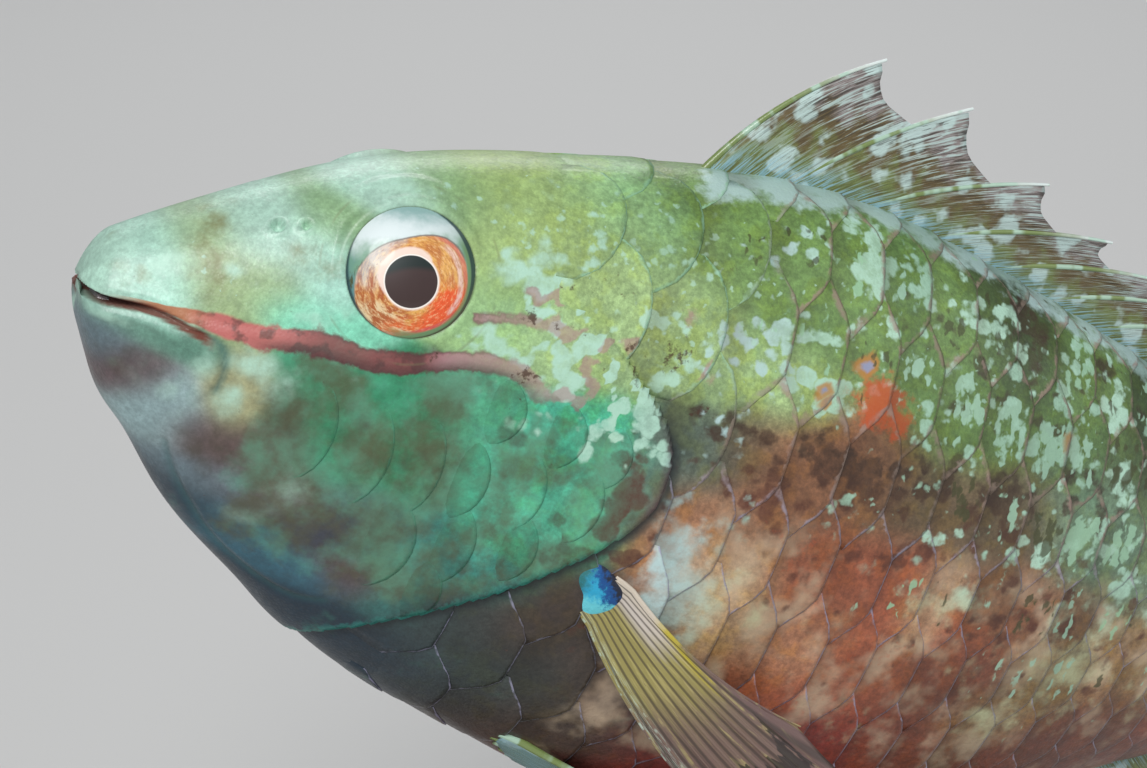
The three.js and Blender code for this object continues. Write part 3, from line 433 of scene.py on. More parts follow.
DARK_SPOTS = [
    (11, 8, 2.6, 4, .62), (20.2, 11.5, 3, 2, .55), (3.8, 4.5, 2.4, 1.6, .55), (24.5, -6, 2.2, 2.2, .7),
    (30.5, -8, 2.2, 1.8, .6), (36.6, -8, 1.6, 2.4, .55), (28, -1.6, 2, 1.2, .45), (44.5, .6, 2, 1.5, .55),
    (48.6, -2.6, 1.6, 2, .45), (52.5, -6.6, 2.2, 1.5, .6), (57.6, -5.4, 1.6, 2.4, .75),
    (47, -10, 2, 1.4, .45), (42, -9.4, 1.5, 2, .5), (39, -16, 2.2, 1.5, .55), (61.4, -8.6, 2, 1.1, .95),
    (17, -10.5, 4.4, 2.6, .6), (6, -4.6, 2.6, 1.8, .5), (33.6, -16, 3, 1.6, .5), (65, 8.2, 4, 1.3, .95),
    (69.5, 7.5, 1.4, 2.6, .9), (69, 2, 2, 1.6, .7), (74.5, 2.6, 3, 2.4, .75), (75.8, 8.6, 1.5, 1.4, .9),
    (77, -0.6, 3, 1.6, .6), (82, 9, 2.4, 1.5, .7), (87, 8.4, 1.6, 2.6, .7), (93, 8, 2, 2.6, .8),
    (90.5, -1.4, 3, 2, .75), (97, 0, 2.4, 1.6, .6), (98.5, 5, 2, 2, .7), (104, 8.4, 4.4, 2, 1),
    (101, 3, 2.4, 2.4, .7), (107, -2, 3.4, 1.4, .8), (102, 26.5, 2.4, 2.4, .9), (101.5, 22, 1.4, 2.6, .7),
    (114, 24, 2, 1.2, .7), (93, 16.6, 1.6, 1.4, .6), (102, 12, 1.4, 1.6, .7), (106, 16.6, 2.4, 1, .7),
    (112, 12, 3, 1.6, .6), (109, -4.4, 2, 2.4, .6), (113, -4, 1.6, 1.8, .7), (116, 2, 3, 1.4, .7),
    (122, -8, 3.4, 1, .7), (118, 8, 2.6, 2, .6), (127, -3, 2.4, 2.2, .7), (97, -8.6, 1.4, 1.6, .5),
    (107, -13, 2, 1.6, .5), (131, 9, 4, 2.4, .9), (140, 3, 4, 2.6, .9), (138, -5, 4, 2.4, .7),
    (152, 4, 4, 2.4, .9), (154, -10, 5, 2.4, .7), (166, -3, 5, 2.6, .9), (176, 5, 5, 2.2, .8),
    (182, -2, 4, 2.6, .8), (196, 0, 5, 3, .9), (130, 16, 4, 1.8, .8), (34.6, 6.4, 1.4, 0.9, .9),
    (57, 2, 2.2, 1.8, .85), (55, -9, 2.6, 1.6, .7), (41.4, -4, 1.4, 3, .45), (22, -4.4, 2, 1.8, .6),
    (29.6, -2.4, 1.6, 1.2, .5), (32, -6, 1.2, 2.4, .5), (45.6, -13.6, 2.2, 2, .5), (68, 23, 1, 1, .5),
    (6.5, -5.6, 1.8, 1.6, .5), (63, -3.6, 1.2, 3, .6), (60, -20, 2, 3, .4), (62.6, 8.6, 2, 1, .9),
    (66, 4.4, 1.6, 1.2, .6), (71.6, 8, 2, 1.4, .9), (72, 3.4, 1.4, 2.4, .9), (77.6, 9.6, 1.6, 1.2, .9),
    (79.4, 6.6, 2.2, 1.6, .95), (84.6, 6.4, 2, 2.6, .9), (80, 1, 2.6, 1, .6), (88, 3.6, 2, 2, .8),
    (87, -1.6, 2.4, 1.6, .8), (91, 5.4, 2, 2.4, .9), (94.6, 1.6, 2.4, 1.8, .9),
    (95.4, 10.6, 1.8, 1.4, .8), (100.6, 7.6, 2, 2, .9), (105, 4, 2, 1.6, .8), (98, 13, 1.4, 1.6, .7),
    (89.6, 11.4, 1.2, 2, .6), (111, 8.6, 1.6, 1.6, .7), (115, -2, 1.6, 1.2, .8), (111, -8, 1.6, 1.2, .7),
    (119, -6, 1.4, 1.4, .8), (115, -11, 1.4, 1, .6), (121, -14, 1.6, 1.2, .6), (104, -12, 1.4, 1.2, .5),
    (125, 8, 2, 1.6, .7), (121, 15, 1.6, 1.4, .7), (94, 21, 1.4, 1.6, .5), (89, 24, 1.2, 2, .5),
    (83, 25, .9, 1.8, .5), (58.6, -1.4, 1.6, 2.6, .85), (52, -10, 2, 1.2, .6),
]
TOP_STRIP = smooth_path([(60, 30.4), (68, 31.9), (78, 32.5), (92, 31.2), (108, 28), (125, 24.4), (140, 21)])
PEPPER_SPOTS = [
    (42.8, 13, 1, .7, .8), (45.2, 13, 1, .7, .8), (48.2, 16.2, 1.8, 1, .9), (47.8, 13.5, .9, .8, .8),
    (51.5, 18.2, 1.6, 1, .8), (54.5, 13, .9, 1.4, .95), (54.8, 11, .9, 1, .9), (58.8, 13.5, 1, 2, .95),
    (58.2, 17.2, 1, .7, .8), (62.5, 22.8, 1.2, .9, .7), (43.8, 7.2, 1.3, 1, .9), (34.6, 6.4, 1.2, .7, .9),
    (62.8, 9, 1.6, .7, .9), (50.4, 10.6, .8, .8, .6), (60, 12, 1.6, 1, .6), (66, 15, 1, .8, .6),
    (46, 17, 2, .8, .6),
]
FLECK_SPOTS = [
    (48, 23, 7, 3, 1), (58, 24, 7, 4, 1), (40, 21, 6, 2, .9), (66, 20, 5, 5, .7), (60, 16, 5, 3, .6),
    (34, 21.5, 5, 1.6, .9), (28, 20.4, 4, 1, .6), (47, 20.4, 4, 1, .7), (85, 3, 3, 2.4, .7),
    (12, 7.6, 4, 2, .6), (110, 18, 6, 5, .6), (96, 20, 6, 4, .5), (78, 22, 8, 4, .6), (150, 6, 24, 6, .4),
]
PALE_ZONES = [
    (92, 22, 26, 7, .34), (112, 14, 12, 12, .36), (118, 2, 16, 7, .34), (52, 21, 14, 6, .24),
    (60, 12, 12, 6, .3), (70, -10, 6, 10, .34), (98, -6, 12, 6, .27), (120, -12, 14, 9, .36),
    (86, -22, 14, 5, .24), (160, 0, 40, 12, .3), (10, -6, 8, 5, .2), (24, 8, 12, 8, .2),
    (48, 6, 8, 4, .3),
]
DARK_ZONES = [
    (82, 6, 16, 5, .4), (100, 4, 14, 7, .38), (112, -6, 12, 6, .36), (84, -8, 14, 8, .22),
    (105, 18, 16, 10, .3), (96, -18, 16, 8, .2), (124, -6, 10, 10, .34), (160, 0, 40, 10, .36),
    (30, -4, 12, 6, .3), (52, -8, 8, 6, .26), (20, -9, 10, 5, .25),
]
CELL_ZONES = [
    (72, 27, 8, 3, .5), (88, 22, 14, 6, .75), (104, 16, 12, 12, .9), (116, 8, 14, 12, .9),
    (120, -8, 12, 8, .6), (150, 2, 30, 10, .8), (84, 3, 6, 3, .4), (98, -6, 8, 4, .5),
]
RUST_SPOTS = [
    (83, 15, 2.6, 2.6, 1), (85.5, 13.6, 1.8, 2.2, .9), (82.4, 12.6, 1.6, 1.2, .8), (79, -3, 4, 3, .35),
    (94, -12, 6, 5, .35), (88, -20, 6, 3, .3), (106, -8, 4, 2.4, .35),
]
LILAC_SPOTS = [
    (79, 18, 1.1, 1, 1), (76.2, 14, 1, .9, 1), (81, 18.2, .8, 1.4, .9), (109, 15.6, 1, 1.6, .5),
]
ROSE_MARKS = [smooth_path(path, 4) for path in (
    [(42.5, 15.2), (45.5, 15.5)], [(45.2, 13.0), (48.0, 12.5)], [(51.2, 12.0), (52.0, 13.5)],
    [(53.8, 14.0), (55.8, 11.0)], [(49.5, 10.8), (50.8, 7.8)], [(47.5, 6.0), (50.8, 6.8)],
    [(58.4, 17.6), (61, 18.4)], [(62, 14), (63.4, 12)])]
PETALS = [
    ((38.5, 10.2), (41.5, 8.8), 1.0), ((42.0, 8.9), (43.2, 8.7), 0.6), ((45.8, 13.5), (46.0, 11.0), 0.5),
    ((49.5, 13.0), (48.2, 10.5), 0.65), ((47.5, 9.5), (48.8, 6.6), 1.2),
    ((51.0, 15.2), (51.8, 14.0), 0.5), ((54.2, 7.4), (54.6, 6.6), 0.7), ((55.2, 10.8), (55.8, 8.8), 0.55),
    ((55.0, 15.8), (55.5, 17.0), 0.5), ((39.2, 17.0), (43.8, 16.4), 1.2),
    ((47.5, 20.5), (48.0, 21.5), 0.5), ((47.8, 14.6), (49.5, 16.2), 0.6),
    ((41.5, 13.9), (44.0, 13.6), 0.45), ((56.5, 9.0), (58.2, 11.0), 0.9),
    ((44.4, 10.4), (44.2, 9.2), 0.6), ((52.4, 10.6), (52.8, 8.6), 0.6), ((50.2, 13.2), (50.6, 12.4), 0.4),
    ((60.2, 14.8), (61.8, 13.4), 0.5), ((57.0, 13.4), (57.6, 14.8), 0.4), ((36.8, 8.6), (37.6, 8.2), 0.6),
]

mouth_line = spline([(-2, 0.3), (2.8, 0.9), (7.1, 1.5), (10.2, 1.1), (13.4, 0.2), (16, -2.0)])


def gill_side(x, z):
    """Signed distance to the gill cover's edge, above 0 on the head."""
    edge = np.array(GILL_EDGE)[::-1]
    ahead = x < np.interp(z, edge[:, 1], edge[:, 0])
    return np.where(ahead, 1, -1) * line_distance(x, z, GILL_EDGE)


def marks_at(straight, wander):
    """Weights of each mark on points of the straight fish; wander moves them on the right side."""
    other = ease(-0.5, 0.5, straight[:, 1])
    x = straight[:, 0] + other * wander * np.sin(straight[:, 2] * 0.31 + 1.7)
    z = straight[:, 2] + other * wander * 0.7 * np.sin(straight[:, 0] * 0.23 + 0.6)
    half_band = np.interp(x, [2, 8, 11, 14, 20, 28, 36, 50], [0.3, 0.45, 0.9, 1.4, 1.5, 1.5, 1.2, 1.3])
    band_path = np.array(BAND)
    under_band = ease(0.3, -0.9, z - np.interp(x, band_path[:, 0], band_path[:, 1])) * ease(15, 20, x)
    band = np.exp(-(line_distance(x, z, BAND) / half_band) ** 2)
    dash = 0.85 * np.exp(-(line_distance(x, z, DASH) / 0.9) ** 2)
    rose = np.maximum(band, dash)
    bent_x = x + 0.4 * np.sin(2.1 * z + 0.4) + 0.25 * np.sin(3.7 * z + 1.9 * x)
    bent_z = z + 0.4 * np.sin(1.9 * x + 1.0) + 0.25 * np.sin(3.3 * x - 2.3 * z)
    for path in ROSE_MARKS:
        rose = np.maximum(rose, 0.9 * np.exp(-(line_distance(bent_x, bent_z, path) / 0.8) ** 2))
    pale = spots(x, z, PALE_SPOTS + PALE_ZONES)
    for start, end, half in PETALS:
        pale = np.maximum(pale, 1.1 * np.exp(-0.7 * (line_distance(bent_x, bent_z,
                                                                   [start, end]) / half) ** 2))
    cheek = ease(-0.2, -2.0, z - np.interp(x, band_path[:, 0], band_path[:, 1])) * ease(17, 22, x)
    cheek = cheek * ease(-23, -18, z) * np.where(x < 66, ease(0.0, 1.5, gill_side(x, z)), 0.0)
    fold = np.maximum(np.exp(-(line_distance(x, z, JAW_FOLD) / 0.4) ** 2),
                      0.6 * np.exp(-(line_distance(x, z, THROAT_FOLD) / 0.4) ** 2))
    mouth = ease(0.6, 0.35, np.abs(z - mouth_line(x))) * ease(13.8, 12, x)
    return {
        "mouth": mouth, "strip": 0.66 * np.exp(-(line_distance(x, z, TOP_STRIP) / 1.9) ** 2),
        "fold": fold, "under_band": under_band, "cheek": cheek,
        "gill_side": np.where(x < 66, gill_side(x, z), -30.0),
        "pale": pale, "dark": spots(x, z, DARK_SPOTS + DARK_ZONES),
        "cells": spots(x, z, CELL_ZONES), "rust": spots(x, z, RUST_SPOTS),
        "lilac": spots(x, z, LILAC_SPOTS), "rose": rose, "pepper": spots(x, z, PEPPER_SPOTS),
        "fleck": spots(x, z, FLECK_SPOTS),
    }


def paint_marks(mesh, straight):
    write_values(mesh, "ground", ground_colour(straight[:, 0], straight[:, 2]))
    for name, weight in marks_at(straight, 2.5).items():
        write_values(mesh, name, weight)


# %% [markdown]
# ## Shader groups shared by the fish's paints
# Four effects return in several materials: ragged blotches, lumpy blotches, fine specks and a skin
# grain. Each is a node group with named inputs, so that a material sets its own size and strength.
# A ragged edge comes from adding noise to a smooth weight before it is cut near a half.
# %% Node helpers
def node(tree, kind, **settings):
    made = tree.nodes.new(kind)
    for name, value in settings.items():
        setattr(made, name, value)
    return made


def feed(tree, target, value):
    """Links a socket, or sets a constant."""
    if isinstance(value, bpy.types.NodeSocket):
        tree.links.new(value, target)
    else:
        target.default_value = value


def maths(tree, operation, a, b=0.0, c=None):
    made = node(tree, "ShaderNodeMath", operation=operation)
    feed(tree, made.inputs[0], a)
    feed(tree, made.inputs[1], b)
    if c is not None:
        feed(tree, made.inputs[2], c)
    return made.outputs[0]


def times(tree, a, b):
    return maths(tree, "MULTIPLY", a, b)


def less(tree, a, b):
    return maths(tree, "SUBTRACT", a, b)


def split(tree, vector):
    """The X, Y and Z of a vector, as outputs by those names."""
    made = node(tree, "ShaderNodeSeparateXYZ")
    feed(tree, made.inputs[0], vector)
    return made.outputs


def joined(tree, x, y, z=0.0):
    made = node(tree, "ShaderNodeCombineXYZ")
    for target, value in zip(made.inputs, (x, y, z)):
        feed(tree, target, value)
    return made.outputs[0]


def rise(tree, value, low, high, to_low=0.0, to_high=1.0):
    made = node(tree, "ShaderNodeMapRange", interpolation_type="SMOOTHSTEP")
    for name, at in (("Value", value), ("From Min", low), ("From Max", high), ("To Min", to_low),
                     ("To Max", to_high)):
        feed(tree, made.inputs[name], at)
    return made.outputs["Result"]


def blend(tree, share, under, over, mode="MIX"):
    made = node(tree, "ShaderNodeMix", data_type="RGBA", blend_type=mode, clamp_factor=True)
    feed(tree, made.inputs["Factor"], share)
    feed(tree, made.inputs[6], under)
    feed(tree, made.inputs[7], over)
    return made.outputs[2]


def noise(tree, place, scale, detail=3.0, rough=0.55, twist=0.0):
    made = node(tree, "ShaderNodeTexNoise")
    for name, at in (("Vector", place), ("Scale", scale), ("Detail", detail), ("Roughness", rough),
                     ("Distortion", twist)):
        feed(tree, made.inputs[name], at)
    return made.outputs["Fac"]


def shaken(tree, place, scale, far):
    """The place moved a little each way by noise, so that what is painted there loses its straight edges."""
    cloud = node(tree, "ShaderNodeTexNoise")
    feed(tree, cloud.inputs["Vector"], place)
    feed(tree, cloud.inputs["Scale"], scale)
    cloud.inputs["Detail"].default_value = 1.0
    centred = node(tree, "ShaderNodeVectorMath", operation="SUBTRACT")
    feed(tree, centred.inputs[0], cloud.outputs["Color"])
    feed(tree, centred.inputs[1], (0.5, 0.5, 0.5))
    moved = node(tree, "ShaderNodeVectorMath", operation="MULTIPLY_ADD")
    feed(tree, moved.inputs[0], centred.outputs[0])
    feed(tree, moved.inputs[1], (far, far, far))
    feed(tree, moved.inputs[2], place)
    return moved.outputs[0]


def named(tree, name, output="Fac"):
    made = node(tree, "ShaderNodeAttribute", attribute_type="GEOMETRY", attribute_name=name)
    return made.outputs[output]


def new_group(name, inputs, outputs):
    """A shader group; an input without a value is a place, the others are numbers."""
    group = bpy.data.node_groups.new(name, "ShaderNodeTree")
    for label, value in inputs:
        kind = "NodeSocketVector" if value is None else "NodeSocketFloat"
        socket = group.interface.new_socket(label, in_out="INPUT", socket_type=kind)
        if value is not None:
            socket.default_value = value
    for label in outputs:
        group.interface.new_socket(label, in_out="OUTPUT", socket_type="NodeSocketFloat")
    return group, node(group, "NodeGroupInput"), node(group, "NodeGroupOutput")


def use_group(tree, group, **values):
    made = node(tree, "ShaderNodeGroup")
    made.node_tree = group
    for name, value in values.items():
        feed(tree, made.inputs[name.replace("_", " ")], value)
    return made


# %% Ragged blotches, specks and grain
def cut_edge(tree, given, uneven):
    """The group's weight made uneven and cut at its threshold, with a soft edge."""
    pushed = maths(tree, "MULTIPLY_ADD", uneven, given.outputs["Ragged"], given.outputs["Weight"])
    low = less(tree, given.outputs["Cut"], given.outputs["Soft"])
    return rise(tree, pushed, low, maths(tree, "ADD", given.outputs["Cut"], given.outputs["Soft"]))


BLOTCH, given, out = new_group(
    "ragged_blotch",
    [("Place", None), ("Weight", 0.0), ("Per mm", 0.4),
     ("Ragged", 0.8), ("Soft", 0.08), ("Cut", 0.5)],
    ["Mask"])
wobble = noise(BLOTCH, given.outputs["Place"], given.outputs["Per mm"], 4.0, 0.62)
feed(BLOTCH, out.inputs["Mask"], cut_edge(BLOTCH, given, less(BLOTCH, wobble, 0.5)))

DROPS, given, out = new_group(
    "lumpy_blotch",
    [("Place", None), ("Weight", 0.0), ("Per mm", 0.5),
     ("Lumps", 1.1), ("Ragged", 0.9), ("Soft", 0.08),
     ("Cut", 0.5)],
    ["Mask"])
lumps = node(DROPS, "ShaderNodeTexVoronoi", feature="F1")
feed(DROPS, lumps.inputs["Vector"], shaken(DROPS, given.outputs["Place"], 0.8, 1.3))
feed(DROPS, lumps.inputs["Scale"], given.outputs["Per mm"])
wide_cloud = noise(DROPS, given.outputs["Place"], times(DROPS, given.outputs["Per mm"], 0.55), 4.0, 0.6)
lumpy = times(DROPS, less(DROPS, 0.4, lumps.outputs["Distance"]), given.outputs["Lumps"])
lumpy = maths(DROPS, "MULTIPLY_ADD", less(DROPS, wide_cloud, 0.5), 1.5, lumpy)
near_mark = rise(DROPS, given.outputs["Weight"], 0.04, 0.16)
feed(DROPS, out.inputs["Mask"], times(DROPS, cut_edge(DROPS, given, lumpy), near_mark))

SPECK, given, out = new_group(
    "specks", [("Place", None), ("Per mm", 1.2), ("Amount", 0.3),
               ("Weight", 1.0)],
    ["Mask"])
cells = node(SPECK, "ShaderNodeTexVoronoi", feature="F1")
feed(SPECK, cells.inputs["Vector"], shaken(SPECK, given.outputs["Place"], 1.6, 0.9))
feed(SPECK, cells.inputs["Scale"], given.outputs["Per mm"])
few = noise(SPECK, given.outputs["Place"], times(SPECK, given.outputs["Per mm"], 0.45), 2.0)
kept = times(SPECK, rise(SPECK, few, 0.32, 0.56), given.outputs["Weight"])
reach = times(SPECK, kept, given.outputs["Amount"])
feed(SPECK, out.inputs["Mask"], rise(SPECK, cells.outputs["Distance"], reach, times(SPECK, reach, 0.45)))

GRAIN, given, out = new_group(
    "skin_grain", [("Place", None), ("Per mm", 3.0)],
    ["Height", "Shade"])
pores = node(GRAIN, "ShaderNodeTexVoronoi", feature="F1")
feed(GRAIN, pores.inputs["Vector"], given.outputs["Place"])
feed(GRAIN, pores.inputs["Scale"], given.outputs["Per mm"])
broad = noise(GRAIN, given.outputs["Place"], 0.8, 2.0)
feed(GRAIN, out.inputs["Height"], maths(GRAIN, "MULTIPLY_ADD", pores.outputs["Distance"], 0.5, broad))
feed(GRAIN, out.inputs["Shade"], noise(GRAIN, given.outputs["Place"], 1.7, 4.0, 0.7))
print("shader groups:", BLOTCH.name, DROPS.name, SPECK.name, GRAIN.name)

# %% [markdown]
# ## Skin and scale paint
# One function lays the same coats on the skin and on the scales: ground colour, a mottled shade,
# clouds on the cheek, brown clouds, mint clouds, rust, lilac, the rose band, specks, the lines
# along the gill cover with a painted shadow behind its edge, and the folds. Two materials would drift apart
# where scales end. Scales get
# three coats more: a pale centre, a coloured line along the rear edge and painted shade on the front, where
# each scale passes under the edge of the one ahead.
# %% Body paint
MINT_CLOUD = tone(172, 212, 192)
CREAM_CLOUD = tone(196, 196, 160)
WHITE_CLOUD = tone(176, 206, 208)
DARK_CLOUD = tone(56, 36, 22)
HEAD_SHADE = tone(62, 56, 38)
CHEEK_SHADE = tone(78, 78, 52)
CHEEK_FRESH = tone(104, 200, 168)
SNOUT_SHADE = tone(116, 112, 60)
BELLY_SHADE = tone(84, 42, 28)
BELLY_CLOUD = tone(206, 184, 158)
RUST = tone(182, 76, 30)
LILAC = tone(134, 146, 178)
LILAC_RIM = tone(176, 120, 52)
ROSE = tone(190, 98, 98)
ROSE_DARK = tone(76, 24, 36)
ROSE_LILAC = tone(166, 122, 128)
GILL_TEAL = tone(28, 142, 130)
LIP_ORANGE = tone(176, 104, 62)
PEPPER_BROWN = tone(66, 40, 24)
GILL_PURPLE = tone(70, 46, 62)
FOLD_TEAL = tone(34, 92, 92)
GILL_SHADOW = tone(22, 34, 40)
MOUTH_RED = tone(112, 44, 30)
YELLOW_WASH = tone(246, 240, 198)
LID_SHADE_LINE = tone(66, 74, 52)
ORBIT_LINE = tone(112, 110, 78)


def body_colour(tree, place):
    """Ground, shades, clouds, band, specks and lines; gives the colour and a height for grain."""
    parts = split(tree, place)
    along = parts["X"]
    height = parts["Z"]
    grain = use_group(tree, GRAIN, Place=place)
    broad = noise(tree, place, 0.17, 3.0, 0.6)
    middling = noise(tree, place, 0.6, 5.0, 0.68)
    on_body = rise(tree, along, 26.0, 58.0)
    shade = times(tree, rise(tree, broad, 0.36, 0.64, 0.88, 1.1),
                  rise(tree, middling, 0.34, 0.66, 0.8, 1.16))
    shade = times(tree, shade, rise(tree, grain.outputs["Shade"], 0.34, 0.66, 0.8, 1.16))
    shade = times(tree, shade, rise(tree, noise(tree, place, 2.8, 3.0, 0.7), 0.32, 0.68, 0.92, 1.07))
    shade = maths(tree, "MULTIPLY_ADD", less(tree, shade, 1.0), rise(tree, on_body, 0.0, 1.0, 0.62, 1.0),
                  1.03)
    grey = node(tree, "ShaderNodeCombineColor")
    for i in range(3):
        feed(tree, grey.inputs[i], shade)
    colour = blend(tree, 1.0, named(tree, "ground", "Color"), grey.outputs[0], "MULTIPLY")
    wash = times(tree, rise(tree, noise(tree, place, 0.3, 3.0, 0.6), 0.46, 0.62, 0.0, 0.8), on_body)
    colour = blend(tree, wash, colour, YELLOW_WASH, "MULTIPLY")
    on_belly = times(tree, rise(tree, height, 3.0, -4.0), rise(tree, along, 60.0, 66.0))
    pink_cloud = rise(tree, noise(tree, place, 0.16, 3.0, 0.55), 0.46, 0.7, 0.0, 0.66)
    colour = blend(tree, times(tree, pink_cloud, on_belly), colour, BELLY_CLOUD)
    other_place = node(tree, "ShaderNodeVectorMath", operation="ADD")
    feed(tree, other_place.inputs[0], place)
    other_place.inputs[1].default_value = (7.3, 1.1, 4.7)
    cheek = named(tree, "cheek")
    brown = use_group(tree, BLOTCH, Place=other_place.outputs[0], Weight=times(tree, cheek, 0.52),
                      Per_mm=0.15, Ragged=1.9, Soft=0.24)
    colour = blend(tree, times(tree, brown.outputs[0], 0.74), colour, CHEEK_SHADE)
    fresh = use_group(tree, BLOTCH, Place=place, Weight=times(tree, cheek, 0.44), Per_mm=0.17, Ragged=1.9,
                      Soft=0.34)
    colour = blend(tree, times(tree, fresh.outputs[0], 0.3), colour, CHEEK_FRESH)
    dark = use_group(tree, DROPS, Place=other_place.outputs[0], Weight=named(tree, "dark"), Per_mm=0.4,
                     Lumps=0.7, Ragged=rise(tree, on_body, 0.0, 1.0, 0.7, 1.1),
                     Soft=rise(tree, on_body, 0.2, 1.0, 0.3, 0.13), Cut=0.46)
    on_snout = times(tree, rise(tree, height, 0.0, 2.0), rise(tree, along, 32.0, 24.0))
    on_head = rise(tree, along, 60.0, 54.0)
    dark_paint = blend(tree, rise(tree, height, 9.0, 0.0), DARK_CLOUD, BELLY_SHADE)
    dark_paint = blend(tree, on_head, dark_paint, HEAD_SHADE)
    dark_paint = blend(tree, on_snout, dark_paint, SNOUT_SHADE)
    dark_share = times(tree, dark.outputs[0], rise(tree, middling, 0.3, 0.6, 0.92, 0.66))
    calmer = times(tree, on_head, less(tree, 1.0, on_snout))
    dark_share = times(tree, dark_share, rise(tree, calmer, 0.0, 1.0, 1.0, 0.7))
    colour = blend(tree, dark_share, colour, dark_paint)
    belly_soft = rise(tree, height, 3.0, -4.0, 0.12, 0.3)
    pale = use_group(tree, DROPS, Place=place, Weight=named(tree, "pale"), Per_mm=0.5,
                     Lumps=rise(tree, height, -5.0, 3.0, 0.35, 1.1),
                     Ragged=rise(tree, on_body, 0.0, 1.0, 0.5, 0.95),
                     Soft=rise(tree, on_body, 0.2, 1.0, 0.4, belly_soft))
    pale_paint = blend(tree, rise(tree, height, 0.0, -8.0), MINT_CLOUD, CREAM_CLOUD)
    pale_paint = blend(tree, rise(tree, along, 76.0, 66.0), pale_paint, WHITE_CLOUD)
    pale_paint = blend(tree, rise(tree, along, 64.0, 60.0), pale_paint, MINT_CLOUD)
    pale_share = times(tree, pale.outputs[0], rise(tree, middling, 0.34, 0.6, 0.62, 0.95))
    on_jaw = times(tree, rise(tree, height, -3.0, -7.0), rise(tree, along, 42.0, 34.0))
    pale_share = times(tree, pale_share, rise(tree, on_jaw, 0.0, 1.0, 1.0, 0.6))
    colour = blend(tree, pale_share, colour, pale_paint)
    rust = use_group(tree, BLOTCH, Place=place, Weight=named(tree, "rust"), Per_mm=0.7, Ragged=1.3, Soft=0.2)
    colour = blend(tree, times(tree, rust.outputs[0], 0.85), colour, RUST)
    lilac_rim = use_group(tree, BLOTCH, Place=place, Weight=named(tree, "lilac"), Per_mm=0.6, Ragged=0.3,
                          Cut=0.34)
    colour = blend(tree, times(tree, lilac_rim.outputs[0], 0.8), colour, LILAC_RIM)
    lilac = use_group(tree, BLOTCH, Place=place, Weight=named(tree, "lilac"), Per_mm=0.6, Ragged=0.3,
                      Cut=0.55)
    colour = blend(tree, times(tree, lilac.outputs[0], 0.9), colour, LILAC)
    rose = use_group(tree, BLOTCH, Place=place, Weight=named(tree, "rose"), Per_mm=0.45,
                     Ragged=rise(tree, along, 12.0, 20.0, 0.45, 1.15), Soft=0.14)
    rose_paint = blend(tree, rise(tree, along, 18.0, 25.0, 0.0, 0.66), ROSE, ROSE_DARK)
    rose_paint = blend(tree, rise(tree, noise(tree, place, 0.5, 3.0), 0.48, 0.62, 0.0, 0.7), rose_paint,
                       ROSE_DARK)
    core = use_group(tree, BLOTCH, Place=place, Weight=named(tree, "rose"), Per_mm=0.45,
                     Ragged=rise(tree, along, 12.0, 20.0, 0.45, 1.15), Soft=0.14, Cut=0.68)
    edge = times(tree, less(tree, 1.0, core.outputs[0]), rise(tree, along, 18.0, 24.0, 0.0, 0.7))
    rose_paint = blend(tree, rise(tree, along, 33.0, 36.0), rose_paint, ROSE_LILAC)
    rose_paint = blend(tree, times(tree, edge, rise(tree, along, 46.0, 38.0)), rose_paint, ROSE_DARK)
    rose_paint = blend(tree, times(tree, named(tree, "under_band"), 0.75), rose_paint, ROSE_DARK)
    rose_paint = blend(tree, rise(tree, along, 13.0, 9.0), rose_paint, LIP_ORANGE)
    rose_share = times(tree, rise(tree, along, 34.0, 46.0, 0.92, 0.6), rise(tree, along, 2.0, 7.0))
    colour = blend(tree, times(tree, rose.outputs[0], rose_share), colour, rose_paint)
    strip = use_group(tree, BLOTCH, Place=place, Weight=named(tree, "strip"), Per_mm=0.3, Ragged=1.4,
                      Soft=0.18)
    colour = blend(tree, times(tree, strip.outputs[0], 0.8), colour, WHITE_CLOUD)
    flecks = use_group(tree, SPECK, Place=place, Per_mm=0.7, Amount=0.52, Weight=named(tree, "fleck"))
    colour = blend(tree, times(tree, flecks.outputs[0], 0.6), colour, MINT_CLOUD)
    pepper = use_group(tree, BLOTCH, Place=place, Weight=times(tree, named(tree, "pepper"), 0.62),
                       Per_mm=1.1, Ragged=2.0, Soft=0.14, Cut=0.52)
    colour = blend(tree, times(tree, pepper.outputs[0], 0.85), colour, PEPPER_BROWN)
    from_gill = named(tree, "gill_side")
    rim_wide = rise(tree, middling, 0.35, 0.65, 0.5, 1.5)
    rim = times(tree, rise(tree, from_gill, rim_wide, 0.1), rise(tree, from_gill, -0.3, 0.1))
    low_rim = times(tree, rim, rise(tree, height, -4.0, -12.0, 0.0, 0.6))
    colour = blend(tree, low_rim, colour, GILL_TEAL)
    high_rim = times(tree, rim, times(tree, rise(tree, height, 7.0, 4.0), rise(tree, height, -6.0, -2.0)))
    colour = blend(tree, times(tree, high_rim, 0.7), colour, GILL_PURPLE)
    colour = blend(tree, times(tree, named(tree, "fold"), 0.6), colour, FOLD_TEAL)
    shadow = times(tree, rise(tree, from_gill, -1.6, -0.2), rise(tree, from_gill, 0.2, -0.2))
    shadow = times(tree, shadow, rise(tree, height, 9.0, 4.0))
    colour = blend(tree, times(tree, shadow, 0.8), colour, GILL_SHADOW)
    colour = blend(tree, times(tree, named(tree, "mouth"), 0.9), colour, MOUTH_RED)
    return colour, grain.outputs["Height"]


def new_material(name, roughness):
    material = bpy.data.materials.new(name)
    material.use_nodes = True
    shader = material.node_tree.nodes["Principled BSDF"]
    shader.inputs["Roughness"].default_value = roughness
    return material, material.node_tree, shader


